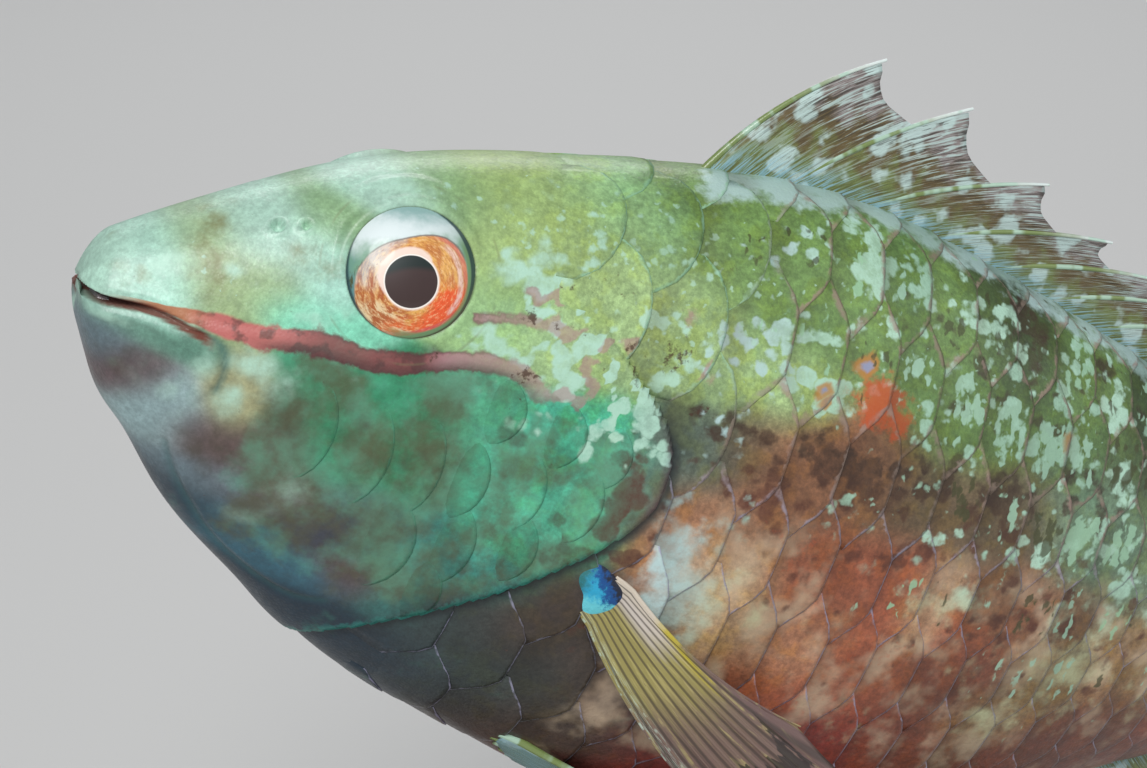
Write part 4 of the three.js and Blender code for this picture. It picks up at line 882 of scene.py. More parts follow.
def bump(tree, shader, height, strength, distance):
    made = node(tree, "ShaderNodeBump")
    made.inputs["Strength"].default_value = strength
    made.inputs["Distance"].default_value = distance
    feed(tree, made.inputs["Height"], height)
    feed(tree, shader.inputs["Normal"], made.outputs[0])


SKIN_PAINT, tree, shader = new_material("fish_skin", 0.42)
skin_colour, skin_height = body_colour(tree, named(tree, "straight", "Vector"))
from_eye = named(tree, "from_eye")
orbit_line = rise(tree, maths(tree, "ABSOLUTE", less(tree, from_eye, ORBIT_CREASE)), 0.22, 0.02)
orbit_share = rise(tree, noise(tree, named(tree, "straight", "Vector"), 0.25, 2.0), 0.44, 0.6, 0.0, 0.3)
skin_colour = blend(tree, times(tree, orbit_line, orbit_share), skin_colour, ORBIT_LINE)
# Painted shade: the lid's inner wall, where the skin turns down into the socket, is darkened.
skin_colour = blend(tree, rise(tree, from_eye, 6.85, 6.6, 0.0, 0.75), skin_colour, LID_SHADE_LINE)
feed(tree, shader.inputs["Base Color"], skin_colour)
dull = times(tree, named(tree, "mouth"), 0.4)
feed(tree, shader.inputs["Roughness"], maths(tree, "ADD", rise(tree, skin_height, 0.3, 1.0, 0.38, 0.55),
                                             dull))
shader.inputs["Coat Weight"].default_value = 0.18
shader.inputs["Coat Roughness"].default_value = 0.25
bump(tree, shader, skin_height, 0.3, 0.0002)

# %% [markdown]
# ## The skin
# Real skin runs without a break from the lips to the tail. It could be the three solids joined and
# remeshed, but then the lips and lids would be as coarse as they are. A fine grid over the same
# curves is cleaner: each point starts on the straight body, then moves along its own normal for
# the lips, the slit of the mouth, the orbit, the nostrils and the gill cover's edge.
# %% Grid over the body
COAT_DEPTH = 0.45
SCALES_FROM = 46.0
tip_stations = 2.4 * (1 - np.cos(np.linspace(0.06, math.pi / 2, 16)))
stations = np.concatenate([tip_stations, np.arange(2.75, 20, 0.37), np.arange(20, 40, 0.3),
                           np.arange(40, 65, 0.42), np.arange(65, BODY_LENGTH, 1.6), [BODY_LENGTH]])
AROUND = 300
turns = np.linspace(-math.pi / 2, 1.5 * math.pi, AROUND, endpoint=False)
smooth_body = body_point(stations[:, None], turns[None, :])


def outward_of(grid):
    """Normals of a grid of points that closes round its columns."""
    along = np.gradient(grid, axis=0)
    across = np.roll(grid, -1, axis=1) - np.roll(grid, 1, axis=1)
    return unit(np.cross(along, across))


skin_normal = outward_of(smooth_body)
if (skin_normal[60, :, 2] * smooth_body[60, :, 2]).sum() < 0:
    skin_normal = -skin_normal
print(len(stations), "rings of", AROUND, "points")

# %% Mouth, lips, jaw and gill cover
MOUTH_END = 13.4
SNOUT_FOLD = smooth_path([(9, 2.6), (14, 2.9), (20, 4.6)])


def face_relief(x, z):
    """How far the skin stands out from the smooth body, in millimetres."""
    off_line = z - mouth_line(x)
    in_mouth = ease(MOUTH_END + 1.2, MOUTH_END - 1.5, x)
    half_open = np.interp(x, [0, 4.5, MOUTH_END], [0.46, 0.24, 0.2])
    deep = np.interp(x, [0, 4, 7, MOUTH_END], [2.6, 1.9, 0.8, 0.35])
    relief = 0.3 * np.exp(-((off_line - 1.2) / 0.8) ** 2) * ease(15, 8, x) * ease(0.4, 3.5, x)
    relief += 0.4 * np.exp(-((off_line + 1.3) / 0.8) ** 2) * ease(15.5, 9, x) * ease(0.4, 3.5, x)
    relief -= deep * ease(half_open + 0.16, half_open - 0.12, np.abs(off_line)) * in_mouth
    relief -= 0.45 * np.exp(-(line_distance(x, z, JAW_FOLD) / 0.4) ** 2)
    relief += 0.3 * np.exp(-(line_distance(x + 0.9, z, JAW_FOLD) / 0.7) ** 2)
    relief -= 0.3 * np.exp(-(line_distance(x, z, THROAT_FOLD) / 0.4) ** 2)
    relief += 0.2 * np.exp(-(line_distance(x - 0.6, z - 0.6, THROAT_FOLD) / 0.6) ** 2)
    relief -= 0.16 * np.exp(-(line_distance(x, z, SNOUT_FOLD) / 0.5) ** 2)
    side = gill_side(x, z)
    shown = ease(17, 9, z) * ease(-34, -26, z) * (x < 66)
    cover = np.where(side > 0, 0.8 * np.exp(-(side / 6.0) ** 2), -0.35 * np.exp(-(side / 1.4) ** 2))
    return relief + cover * shown


flat_x = smooth_body[..., 0].ravel()
flat_z = smooth_body[..., 2].ravel()
relief = face_relief(flat_x, flat_z).reshape(smooth_body.shape[:2])
inset = COAT_DEPTH * ease(SCALES_FROM - 4, SCALES_FROM + 4, smooth_body[..., 0]) + 0.05
rear = np.maximum(ease(-0.3, 0.3, -gill_side(flat_x, flat_z)).reshape(inset.shape),
                  ease(60, 64, smooth_body[..., 0]))
inset = inset * np.where(smooth_body[..., 2] > 15, 1, rear)
shaped = smooth_body + skin_normal * (relief - inset)[..., None]
print("relief from", round(float(relief.min()), 2), "to", round(float(relief.max()), 2), "mm")

# %% Orbits and nostrils
LID_RADIUS = 7.1
LID_TUBE = 0.9
SOCKET_RADIUS = 6.35
ORBIT_RADIUS = 10.2
NOSTRILS = [(16.3, 13.3, 0.75), (18.9, 14.3, 0.55)]
NOSTRIL_AXIS = unit(np.array([-0.36, -0.72, 0.58]))


def around_axis(points, centre, axis):
    """Height above centre along axis, and distance from the axis line."""
    off = points - centre
    high = off @ axis
    return high, np.linalg.norm(off - high[..., None] * axis, axis=-1)


from_eye = np.full(shaped.shape[:2], FAR_FROM_EYE)
for side in (1, -1):
    flip = np.array([1, side, 1])
    centre = EYE * flip
    axis = EYE_AXIS * flip
    high, out_from = around_axis(shaped, centre, axis)
    near = (high > -7) & (out_from < ORBIT_RADIUS + 3)
    snap = near & (np.abs(out_from - SOCKET_RADIUS) < 0.24)
    flat_part = shaped - centre - high[..., None] * axis
    pull = np.where(snap, SOCKET_RADIUS / np.maximum(out_from, 1e-6), 1)
    shaped = centre + high[..., None] * axis + flat_part * pull[..., None]
    out_from = out_from * pull
    from_eye = np.where(near, np.minimum(from_eye, out_from), from_eye)
    mound = -3.3 + 4.05 * np.sqrt(np.clip(1 - (out_from / ORBIT_RADIUS) ** 2, 0, 1))
    mound -= 0.14 * np.exp(-((out_from - ORBIT_CREASE) / 0.3) ** 2)
    rim = -0.8 + np.sqrt(np.clip(LID_TUBE ** 2 - (out_from - LID_RADIUS) ** 2, 0, 1))
    raised = np.maximum(np.maximum(high, np.where(out_from < ORBIT_RADIUS, mound, -9)),
                        np.where(np.abs(out_from - LID_RADIUS) < LID_TUBE, rim, -9))
    raised = np.where(out_from < SOCKET_RADIUS - 0.01, -3.6, raised)
    shaped = np.where(near[..., None], shaped + (raised - high)[..., None] * axis, shaped)
    for x, z, radius in NOSTRILS:
        at = np.array([x, -float(side_at(x, z)) * side, z])
        high, out_from = around_axis(shaped, at, NOSTRIL_AXIS * flip)
        pit = -0.9 * ease(radius + 0.05, radius - 0.25,
                          out_from) + 0.3 * np.exp(-((out_from - radius - 0.25) / 0.22) ** 2)
        shaped = shaped + np.where(np.abs(high) < 4, pit, 0)[..., None] * NOSTRIL_AXIS * flip

skin_faces = grid_faces(len(stations), AROUND, around=True)
tip = len(stations) * AROUND
skin_faces += [(tip, (j + 1) % AROUND, j) for j in range(AROUND)]
last = (len(stations) - 1) * AROUND
skin_faces += [(tip + 1, last + j, last + (j + 1) % AROUND) for j in range(AROUND)]
ends = np.array([[0.0, 0, 0.2], [BODY_LENGTH, 0, -1.4]])
skin_straight = np.concatenate([smooth_body.reshape(-1, 3), ends])
skin_points = placed(np.concatenate([shaped.reshape(-1, 3), ends]))
skin = mesh_piece("fish_skin", skin_points, skin_faces, closed=True)
write_values(skin.data, "straight", skin_straight)
paint_marks(skin.data, skin_straight)
write_values(skin.data, "from_eye", np.concatenate([from_eye.ravel(), [FAR_FROM_EYE, FAR_FROM_EYE]]))
skin.data.materials.append(SKIN_PAINT)
print("skin:", len(skin.data.polygons), "faces")

# %% [markdown]
# ## Scales
# A parrotfish has large scales: some two dozen from gill cover to tail, in eight rows a side, each
# row set half a scale further on than the next, and each scale's rear edge over the front of the
# one behind. Modelled one by one they would drift off the curved body. Here each is a copy of one
# flat pattern, laid on a plan of the body, with millimetres along one way and rows round the
# other. Geometry Nodes then wraps the whole plan round a guide, by finding each point's place on
# the guide's own map, and lifts it along the guide's normal.
# %% Guide form with its plan
ROWS_ROUND = 16
OVERLAP = 1.5
GIRTH_START = (0.0, -2.0, 0.0)
GIRTH_SIZE = (230.0, 20.0, 1.0)


def girth_point(x, row):
    """The body at x and a row line: 0 on the belly, 8 on the back, counted over the left side."""
    steps = np.linspace(-math.pi / 2, 1.5 * math.pi, 241)
    ring = body_point(x, steps)
    run = np.concatenate([[0], np.cumsum(np.linalg.norm(np.diff(ring, axis=0), axis=1))])
    turn = np.interp(np.mod(row, ROWS_ROUND) / ROWS_ROUND, run / run[-1], steps)
    return body_point(x, turn)


def plan_guide():
    at_x = np.arange(20, 212, 2.0)
    rows = np.linspace(-OVERLAP, ROWS_ROUND + OVERLAP, 153)
    straight = np.array([girth_point(min(x, BODY_LENGTH), rows) for x in at_x])
    straight[..., 0] = at_x[:, None]
    around = np.gradient(straight, axis=1)
    along = np.gradient(straight, axis=0)
    return at_x, rows, straight, unit(np.cross(along, around))


def guide_piece(name, along_values, row_values, straight, normal, start, size):
    """A mesh whose map is the plan, fitted from 0 to 1; it carries the straight place and the way out."""
    tall, wide = straight.shape[:2]
    piece = mesh_piece(name, placed(straight), grid_faces(tall, wide))
    write_values(piece.data, "straight", straight.reshape(-1, 3))
    tipped = placed(straight + 0.1 * normal) - placed(straight)
    write_values(piece.data, "outward", unit(tipped).reshape(-1, 3))
    plan = piece.data.uv_layers.new(name="plan")
    corners = np.zeros(len(piece.data.loops), np.int32)
    piece.data.loops.foreach_get("vertex_index", corners)
    places = np.stack(np.meshgrid(along_values, row_values, indexing="ij"), -1).reshape(-1, 2)
    places = (places - np.array(start[:2])) / np.array(size[:2])
    plan.data.foreach_set("uv", places[corners].astype(np.float32).ravel())
    return piece


at_x, rows, straight, normal = plan_guide()
body_guide = guide_piece("body_guide", at_x, rows, straight, normal, GIRTH_START, GIRTH_SIZE)
print("guide normal check:", np.round(normal[30, 40], 2))

# %% Pattern of one scale
SCALE_OVERLAP = 2.0
EDGE_SWEEP = 0.5
HALF_HEIGHT = 0.76


def scale_pattern(name, root_depth, edge_lift, thick, rounded=False):
    """One scale seen flat: its rear edge is at 0, its root at -2 pitches; a pitch and a row are 1."""
    across = np.linspace(-1, 1, 11)
    back_edge = -EDGE_SWEEP * ease(0.36, 1.12, np.abs(across)) * 1.05
    if rounded:
        back_edge = -0.72 * (1 - np.sqrt(1 - (0.96 * across) ** 2))
    front_edge = -SCALE_OVERLAP + 0.9 * np.abs(across) ** 2.2
    steps = np.array([0.0, 0.45, 0.72, 0.88, 0.965, 1.0])
    x = front_edge + (back_edge - front_edge) * steps[:, None]
    y = np.broadcast_to(across * HALF_HEIGHT, x.shape)
    z = root_depth + (edge_lift - root_depth) * (x + SCALE_OVERLAP) / SCALE_OVERLAP
    z = z - 0.05 * (steps[:, None] == 1) - 0.06 * across ** 4
    top = np.stack([x, y, z], -1).reshape(-1, 3)
    under = top - np.array([0, 0, thick])
    rows_in, columns_in = x.shape
    faces = grid_faces(rows_in, columns_in)
    count = rows_in * columns_in
    ring = [i for i in range(columns_in)]
    ring += [(i + 1) * columns_in - 1 for i in range(1, rows_in)]
    ring += [count - 2 - i for i in range(columns_in - 1)]
    ring += [(rows_in - 1 - i) * columns_in for i in range(1, rows_in - 1)]
    points = np.concatenate([top, under[ring], [under.mean(0)]])
    size = len(ring)
    faces += [(ring[k], count + k, count + (k + 1) % size, ring[(k + 1) % size]) for k in range(size)]
    faces += [(count + size, count + (k + 1) % size, count + k) for k in range(size)]
    piece = mesh_piece(name, points, faces, closed=True)
    from_edge = np.concatenate([(back_edge - x).ravel(), (back_edge - x).ravel()[ring], [1.0]])
    write_values(piece.data, "from_edge", from_edge)
    write_values(piece.data, "on_scale", np.concatenate([points[:, :2], points[:, :1] * 0], 1))
    return piece


flank_pattern = scale_pattern("flank_scale_pattern", -0.35, 0.24, 0.13)
nape_pattern = scale_pattern("nape_scale_pattern", -0.35, 0.11, 0.1, rounded=True)
cheek_pattern = scale_pattern("cheek_scale_pattern", -0.3, 0.12, 0.1, rounded=True)
print("faces in one scale:", len(flank_pattern.data.polygons))

# %% Tree that lays the scales
def add_sockets(tree, side, **kinds):
    for name, kind in kinds.items():
        tree.interface.new_socket(name.replace("_", " "), in_out=side, socket_type="NodeSocket" + kind)


def lay_scales_tree():
    tree = bpy.data.node_groups.new("lay_scales", "GeometryNodeTree")
    add_sockets(tree, "INPUT", Places="Geometry", Pattern="Object", Guide="Object", Plan_start="Vector",
                Plan_size="Vector", Paint="Material")
    add_sockets(tree, "OUTPUT", Scales="Geometry")
    given = node(tree, "NodeGroupInput")
    out = node(tree, "NodeGroupOutput")
    link = tree.links.new
    pattern = node(tree, "GeometryNodeObjectInfo")
    guide = node(tree, "GeometryNodeObjectInfo")
    link(given.outputs["Pattern"], pattern.inputs["Object"])
    link(given.outputs["Guide"], guide.inputs["Object"])

    def attribute(name):
        made = node(tree, "GeometryNodeInputNamedAttribute", data_type="FLOAT_VECTOR")
        made.inputs["Name"].default_value = name
        return made.outputs["Attribute"]

    copies = node(tree, "GeometryNodeInstanceOnPoints")
    link(given.outputs["Places"], copies.inputs["Points"])
    link(pattern.outputs["Geometry"], copies.inputs["Instance"])
    link(attribute("spread"), copies.inputs["Scale"])
    real = node(tree, "GeometryNodeRealizeInstances")
    link(copies.outputs[0], real.inputs[0])
    flat_place = node(tree, "GeometryNodeInputPosition")
    from_start = node(tree, "ShaderNodeVectorMath", operation="SUBTRACT")
    link(flat_place.outputs[0], from_start.inputs[0])
    link(given.outputs["Plan start"], from_start.inputs[1])
    on_plan = node(tree, "ShaderNodeVectorMath", operation="DIVIDE")
    link(from_start.outputs[0], on_plan.inputs[0])
    link(given.outputs["Plan size"], on_plan.inputs[1])

    def on_guide(value):
        made = node(tree, "GeometryNodeSampleUVSurface", data_type="FLOAT_VECTOR")
        link(guide.outputs["Geometry"], made.inputs["Mesh"])
        link(value, made.inputs["Value"])
        link(attribute("plan"), made.inputs[2])
        link(on_plan.outputs[0], made.inputs["Sample UV"])
        return made.outputs["Value"]

    keep = node(tree, "GeometryNodeStoreNamedAttribute", data_type="FLOAT_VECTOR", domain="POINT")
    keep.inputs["Name"].default_value = "straight"
    link(real.outputs[0], keep.inputs["Geometry"])
    link(on_guide(attribute("straight")), keep.inputs["Value"])
    parts = node(tree, "ShaderNodeSeparateXYZ")
    link(flat_place.outputs[0], parts.inputs[0])
    lift = node(tree, "ShaderNodeMath", operation="MULTIPLY")
    link(parts.outputs["Z"], lift.inputs[0])
    lift.inputs[1].default_value = 0.001
    raised = node(tree, "ShaderNodeVectorMath", operation="SCALE")
    link(on_guide(attribute("outward")), raised.inputs[0])
    link(lift.outputs[0], raised.inputs["Scale"])
    total = node(tree, "ShaderNodeVectorMath", operation="ADD")
    link(on_guide(node(tree, "GeometryNodeInputPosition").outputs[0]), total.inputs[0])
    link(raised.outputs[0], total.inputs[1])
    wrap = node(tree, "GeometryNodeSetPosition")
    link(keep.outputs[0], wrap.inputs["Geometry"])
    link(total.outputs[0], wrap.inputs["Position"])
    paint = node(tree, "GeometryNodeSetMaterial")
    link(wrap.outputs[0], paint.inputs["Geometry"])
    link(given.outputs["Paint"], paint.inputs["Material"])
    link(paint.outputs[0], out.inputs[0])
    return tree


LAY_SCALES = lay_scales_tree()


def set_inputs(modifier, **values):
    """Sets a tree's inputs by their identifiers; a space in a name is written as an underscore."""
    for item in modifier.node_group.interface.items_tree:
        if item.in_out == "INPUT" and item.name.replace(" ", "_") in values:
            modifier[item.identifier] = values[item.name.replace(" ", "_")]


def made_real(piece, name):
    """The piece as its modifiers leave it, as a plain mesh of its own."""
    bpy.context.view_layer.update()
    shown = piece.evaluated_get(bpy.context.evaluated_depsgraph_get())
    mesh = bpy.data.meshes.new_from_object(shown, preserve_all_data_layers=True,
                                           depsgraph=bpy.context.evaluated_depsgraph_get())
    mesh.name = name
    bpy.data.objects.remove(piece)
    real = bpy.data.objects.new(name, mesh)
    bpy.context.scene.collection.objects.link(real)
    return real


def read_values(mesh, name, width):
    values = np.zeros(len(mesh.vertices) * width, np.float32)
    mesh.attributes[name].data.foreach_get("value" if width == 1 else "vector", values)
    return values.reshape(-1, width)[:, 0] if width == 1 else values.reshape(-1, width)


def coat_of_scales(name, places, spreads, pattern, guide, start, size):
    seeds = np.random.default_rng(7).random(len(places))
    points = np.concatenate([np.asarray(places, float), np.zeros((len(places), 1))], 1)
    piece = mesh_piece(name + "_places", points, [])
    write_values(piece.data, "spread", np.asarray(spreads, float))
    write_values(piece.data, "one_scale", seeds)
    write_values(piece.data, "root", points)
    layer = piece.modifiers.new("lay", "NODES")
    layer.node_group = LAY_SCALES
    set_inputs(layer, Pattern=pattern, Guide=guide, Plan_start=start, Plan_size=size, Paint=SCALE_PAINT)
    return made_real(piece, name)


# %% Paint of the scales
CENTRE_MINT = tone(150, 196, 160)
CENTRE_OLIVE = tone(58, 62, 28)
FRONT_SHADE_BROWN = tone(150, 120, 100)
TINT_DARK = tone(216, 222, 212)
TINT_LIGHT = (1.12, 1.08, 1.06, 1)
SCALE_PAINT, tree, shader = new_material("fish_scales", 0.36)
scale_place = named(tree, "straight", "Vector")
colour, height = body_colour(tree, scale_place)
edge_mm = named(tree, "edge_mm")
one = named(tree, "one_scale")
parts = split(tree, named(tree, "on_scale", "Vector"))
aside = maths(tree, "ABSOLUTE", parts["Y"])
centre_far = maths(tree, "ADD", maths(tree, "POWER", maths(tree, "MULTIPLY_ADD", parts["X"], 2.2, 1.1), 2.0),
                   maths(tree, "POWER", times(tree, parts["Y"], 2.3), 2.0))
centre_weight = times(tree, rise(tree, centre_far, 1.6, 0.0), named(tree, "cells"))
streaky = node(tree, "ShaderNodeMapping")
streaky.inputs["Scale"].default_value = (1.3, 1.0, 0.6)
feed(tree, streaky.inputs["Vector"], shaken(tree, scale_place, 0.9, 1.2))
centre = use_group(tree, DROPS, Place=streaky.outputs[0], Weight=centre_weight, Per_mm=0.6, Ragged=1.3,
                   Soft=0.12, Cut=0.58)
centre_paint = blend(tree, rise(tree, one, 0.3, 0.7), MINT_CLOUD, CENTRE_MINT)
centre_paint = blend(tree, rise(tree, one, 0.78, 0.8), centre_paint, CENTRE_OLIVE)
colour = blend(tree, times(tree, centre.outputs[0], 0.8), colour, centre_paint)
edge_noise = noise(tree, scale_place, 0.5, 4.0, 0.65)
wander = times(tree, rise(tree, edge_noise, 0.35, 0.65, 0.3, 1.5), rise(tree, aside, 0.25, 0.62, 0.45, 1.1))
line_width = times(tree, named(tree, "line_width"), wander)
line = rise(tree, edge_mm, line_width, times(tree, line_width, 0.35))
line_share = times(tree, line, rise(tree, noise(tree, scale_place, 0.8, 3.0), 0.35, 0.6, 0.15, 0.75))
line_share = times(tree, line_share, rise(tree, named(tree, "on_cheek"), 0.0, 1.0, 1.0, 0.4))
colour = blend(tree, line_share, colour, named(tree, "line_tone", "Color"))
# Painted shade: the front of each scale, where it passes under the rear edge of the scale ahead, is darkened
# towards brown.
front_shade = times(tree, rise(tree, parts["X"], -0.55, -1.05, 0.0, 0.42), named(tree, "scaly"))
colour = blend(tree, front_shade, colour, FRONT_SHADE_BROWN, "MULTIPLY")
tint = blend(tree, one, TINT_DARK, TINT_LIGHT)
colour = blend(tree, times(tree, named(tree, "scaly"), 0.9), colour, tint, "MULTIPLY")
feed(tree, shader.inputs["Base Color"], colour)
feed(tree, shader.inputs["Roughness"], rise(tree, height, 0.3, 1.0, 0.36, 0.53))
shader.inputs["Coat Weight"].default_value = 0.18
shader.inputs["Coat Roughness"].default_value = 0.25
bump(tree, shader, height, 0.3, 0.0002)

MAUVE_LINE = tone(150, 128, 118)
MINT_LINE = tone(150, 200, 168)
LAVENDER_LINE = tone(158, 156, 184)
CHEEK_LINE = tone(70, 158, 128)
PATCH_SIZE = 0.003


def scale_lines(mesh, straight, pitch):
    """Width and colour of the line along each scale's rear edge, by where the scale lies."""
    x = straight[:, 0]
    z = straight[:, 2]
    write_values(mesh, "edge_mm", read_values(mesh, "from_edge", 1) * pitch)
    belly_share = ease(6, -2, z)[:, None]
    nape_share = (ease(72, 62, x) * ease(8, 12, z))[:, None]
    cheek_share = ((x < 63) * (gill_side(x, z) > 0) * ease(9, 7, z))[:, None]
    line = lerp(np.array(MAUVE_LINE), np.array(LAVENDER_LINE), belly_share)
    line = lerp(line, np.array(MINT_LINE), nape_share)
    write_values(mesh, "line_tone", lerp(line, np.array(CHEEK_LINE), cheek_share))
    width = lerp(lerp(1.15, 0.3, belly_share), 0.6, nape_share)
    write_values(mesh, "line_width", lerp(width, 0.5, cheek_share)[:, 0])
    write_values(mesh, "on_cheek", cheek_share[:, 0].astype(float))
    write_values(mesh, "scaly", np.where(cheek_share[:, 0] > 0.5, 0.95, ease(45, 54, x)))


def bake_map(mesh, root, local, start, plan_size):
    """Each scale as a small patch at its root's place on the unwrapped body."""
    place = (root[:, :2] - np.array(start[:2])) / np.array(plan_size[:2])
    place += PATCH_SIZE * np.stack([local[:, 0] / SCALE_OVERLAP + 0.5, local[:, 1] / 1.6], -1)
    for layer in list(mesh.uv_layers):
        mesh.uv_layers.remove(layer)
    layer = mesh.uv_layers.new(name="OFBake")
    corners = np.zeros(len(mesh.loops), np.int32)
    mesh.loops.foreach_get("vertex_index", corners)
    layer.data.foreach_set("uv", np.clip(place, 0.001, 0.999)[corners].astype(np.float32).ravel())


# %% Lay the scales of the body
NAPE_END = 68.0


def pitch_at(x):
    return np.interp(x, [40, 60, 68, 120, 200], [8.9, 8.2, 6.6, 6.1, 4.8])


column_x = [46.4]
while column_x[-1] < BODY_LENGTH + 4:
    column_x.append(column_x[-1] + float(pitch_at(column_x[-1])))
gill_line = np.array(GILL_EDGE)[::-1]


def body_lattice(first_row, last_row, nape):
    """Places of the scales in rows; the nape's own rounder scales are asked for apart."""
    rng = np.random.default_rng(11)
    places = []
    spreads = []
    for row in range(first_row, last_row):
        for count in range(len(column_x) - 1):
            shift = 0.5 * (row % 2)
            x = column_x[count] + shift * (column_x[count + 1] - column_x[count])
            z = float(girth_point(min(x, BODY_LENGTH), np.array(float(row)))[2])
            start = 47 if z > 13 else float(np.interp(z, gill_line[:, 1], gill_line[:, 0])) + 1.5
            on_nape = x < NAPE_END and z > 5
            if x < start or x > BODY_LENGTH - 1 or on_nape != nape:
                continue
            places.append((x + rng.normal() * 0.15, row + rng.normal() * 0.02))
            spreads.append((float(pitch_at(x)) * rng.uniform(0.96, 1.05), 1.0, rng.uniform(0.9, 1.1)))
    return places, spreads


def finish_coat(coat, pitch, places, start, plan_size):
    straight = read_values(coat.data, "straight", 3)
    paint_marks(coat.data, straight)
    scale_lines(coat.data, straight, pitch(straight[:, 0]))
    bake_map(coat.data, read_values(coat.data, "root", 3), read_values(coat.data, "on_scale", 3), start,
             plan_size)
    coat.data.polygons.foreach_set("use_smooth", [True] * len(coat.data.polygons))
    body_coats.append(coat)
    off_plan = int((np.abs(straight).sum(1) == 0).sum())
    print(coat.name, len(places), "scales,", len(coat.data.polygons), "faces,", off_plan,
          "points off the plan")


body_coats = []
for label, first, final in (("left", 0, 9), ("right", 9, 16)):
    for part, pattern, nape in (("flank", flank_pattern, False), ("nape", nape_pattern, True)):
        places, spreads = body_lattice(first, final, nape)
        coat = coat_of_scales(f"scales_{part}_{label}", places, spreads, pattern, body_guide, GIRTH_START,
                              GIRTH_SIZE)
        finish_coat(coat, pitch_at, places, GIRTH_START, GIRTH_SIZE)

# %% [markdown]
# ## Scales of the cheek and the gill cover
# The cheek has one row of large scales and the gill cover has a few more, thin and almost flush.
# The rows of the body do not run over the head, so these lie on a second plan, which is simply the
# side view of the head with its lips and folds. The right side is the same plan seen from behind.
# %% Lay the scales of the head
HEAD_START = (14.0, -24.0, 0.0)
HEAD_SIZE = (52.0, 38.0, 1.0)
HEAD_SCALES = [
    (27.6, -5.2, 6.0, 8.0), (33.8, -5.9, 6.2, 8.4), (39.2, -5.4, 6.0, 8.2), (45.4, 2.9, 7.0, 5.4),
    (52.3, 2.3, 7.2, 5.4), (57.6, 1.6, 6.2, 5.2), (44.2, -5.2, 6.5, 6.6), (50.2, -4.6, 6.8, 6.8),
    (56.4, -4.0, 6.6, 6.6), (39.6, -14.4, 9.0, 8.2), (45.4, -12.4, 7.0, 7.0), (51.6, -10.6, 6.6, 5.8),
    (44.2, -18.4, 6.6, 5.4),
]


def head_guide(side):
    """The side view of the head as a guide; side is 1 on the left and -1 on the right."""
    at_x = HEAD_START[0] + np.linspace(0, HEAD_SIZE[0], 53)
    at_z = HEAD_START[1] + np.linspace(0, HEAD_SIZE[1], 77)
    x, z = np.meshgrid(at_x, at_z, indexing="ij")
    held = np.maximum(z, bottom_at(x) + 1.2)
    flat = np.stack([x, -side_at(x, held), held], -1)
    normal = unit(np.cross(np.gradient(flat, axis=0), np.gradient(flat, axis=1)))
    relief = face_relief(x.ravel(), held.ravel()).reshape(x.shape)
    turn = np.array([1, side, 1])
    raised = (flat + normal * relief[..., None]) * turn
    return guide_piece("head_guide", at_x, at_z, raised, normal * turn, HEAD_START, HEAD_SIZE)


for label, side in (("left", 1), ("right", -1)):
    guide = head_guide(side)
    places = [(x, z) for x, z, pitch, row in HEAD_SCALES]
    spreads = [(pitch, row, 1.0) for x, z, pitch, row in HEAD_SCALES]
    coat = coat_of_scales(f"scales_head_{label}", places, spreads, cheek_pattern, guide, HEAD_START,
                          HEAD_SIZE)
    finish_coat(coat, lambda x: 6.4, places, HEAD_START, HEAD_SIZE)
    bpy.data.objects.remove(guide)

# %% [markdown]
# ## Fins
# Each fin is a fan of rays with skin between them. The rays could be part of one sheet, but tubes
# that taper catch the light as real ones do. So the membrane is a thin closed sheet between the
# rays' lines, and Geometry Nodes turns the lines into tubes whose radius is read from each point.
# %% Fin helpers
SHEET_PER_GAP = 9
SHEET_ROWS = 27
SHEET_SINK = 0.08
RAY_STEPS = 22


def scalloped(edge, depth):
    """How far out a sheet reaches at share f between two rays, with a shallow dip halfway."""
    return lambda i, f: edge - depth * math.sin(math.pi * f)


class FinPlan:
    """A fin as the roots and tips of its rays, with an arch between them."""

    def __init__(self, roots, tips, arches, reach, thick_root, thick_edge, stiff):
        self.roots = np.array(roots, float)
        self.tips = np.array(tips, float)
        self.arches = np.array(arches, float)
        self.reach = reach
        self.thick_root = thick_root
        self.thick_edge = thick_edge
        self.stiff = stiff
        self.count = len(roots)

    def at(self, u, v):
        """Point at ray number u, and share v of the way out."""
        u, v = np.broadcast_arrays(np.asarray(u, float), np.asarray(v, float))
        i = np.clip(np.floor(u).astype(int), 0, self.count - 2)
        f = (u - i)[..., None]
        root = lerp(self.roots[i], self.roots[i + 1], f)
        tip = lerp(self.tips[i], self.tips[i + 1], f)
        arch = lerp(self.arches[i], self.arches[i + 1], f)
        swell = np.where(v > 0, 4 * v * (1 - v), 0)[..., None]
        return root + (tip - root) * v[..., None] + arch * swell


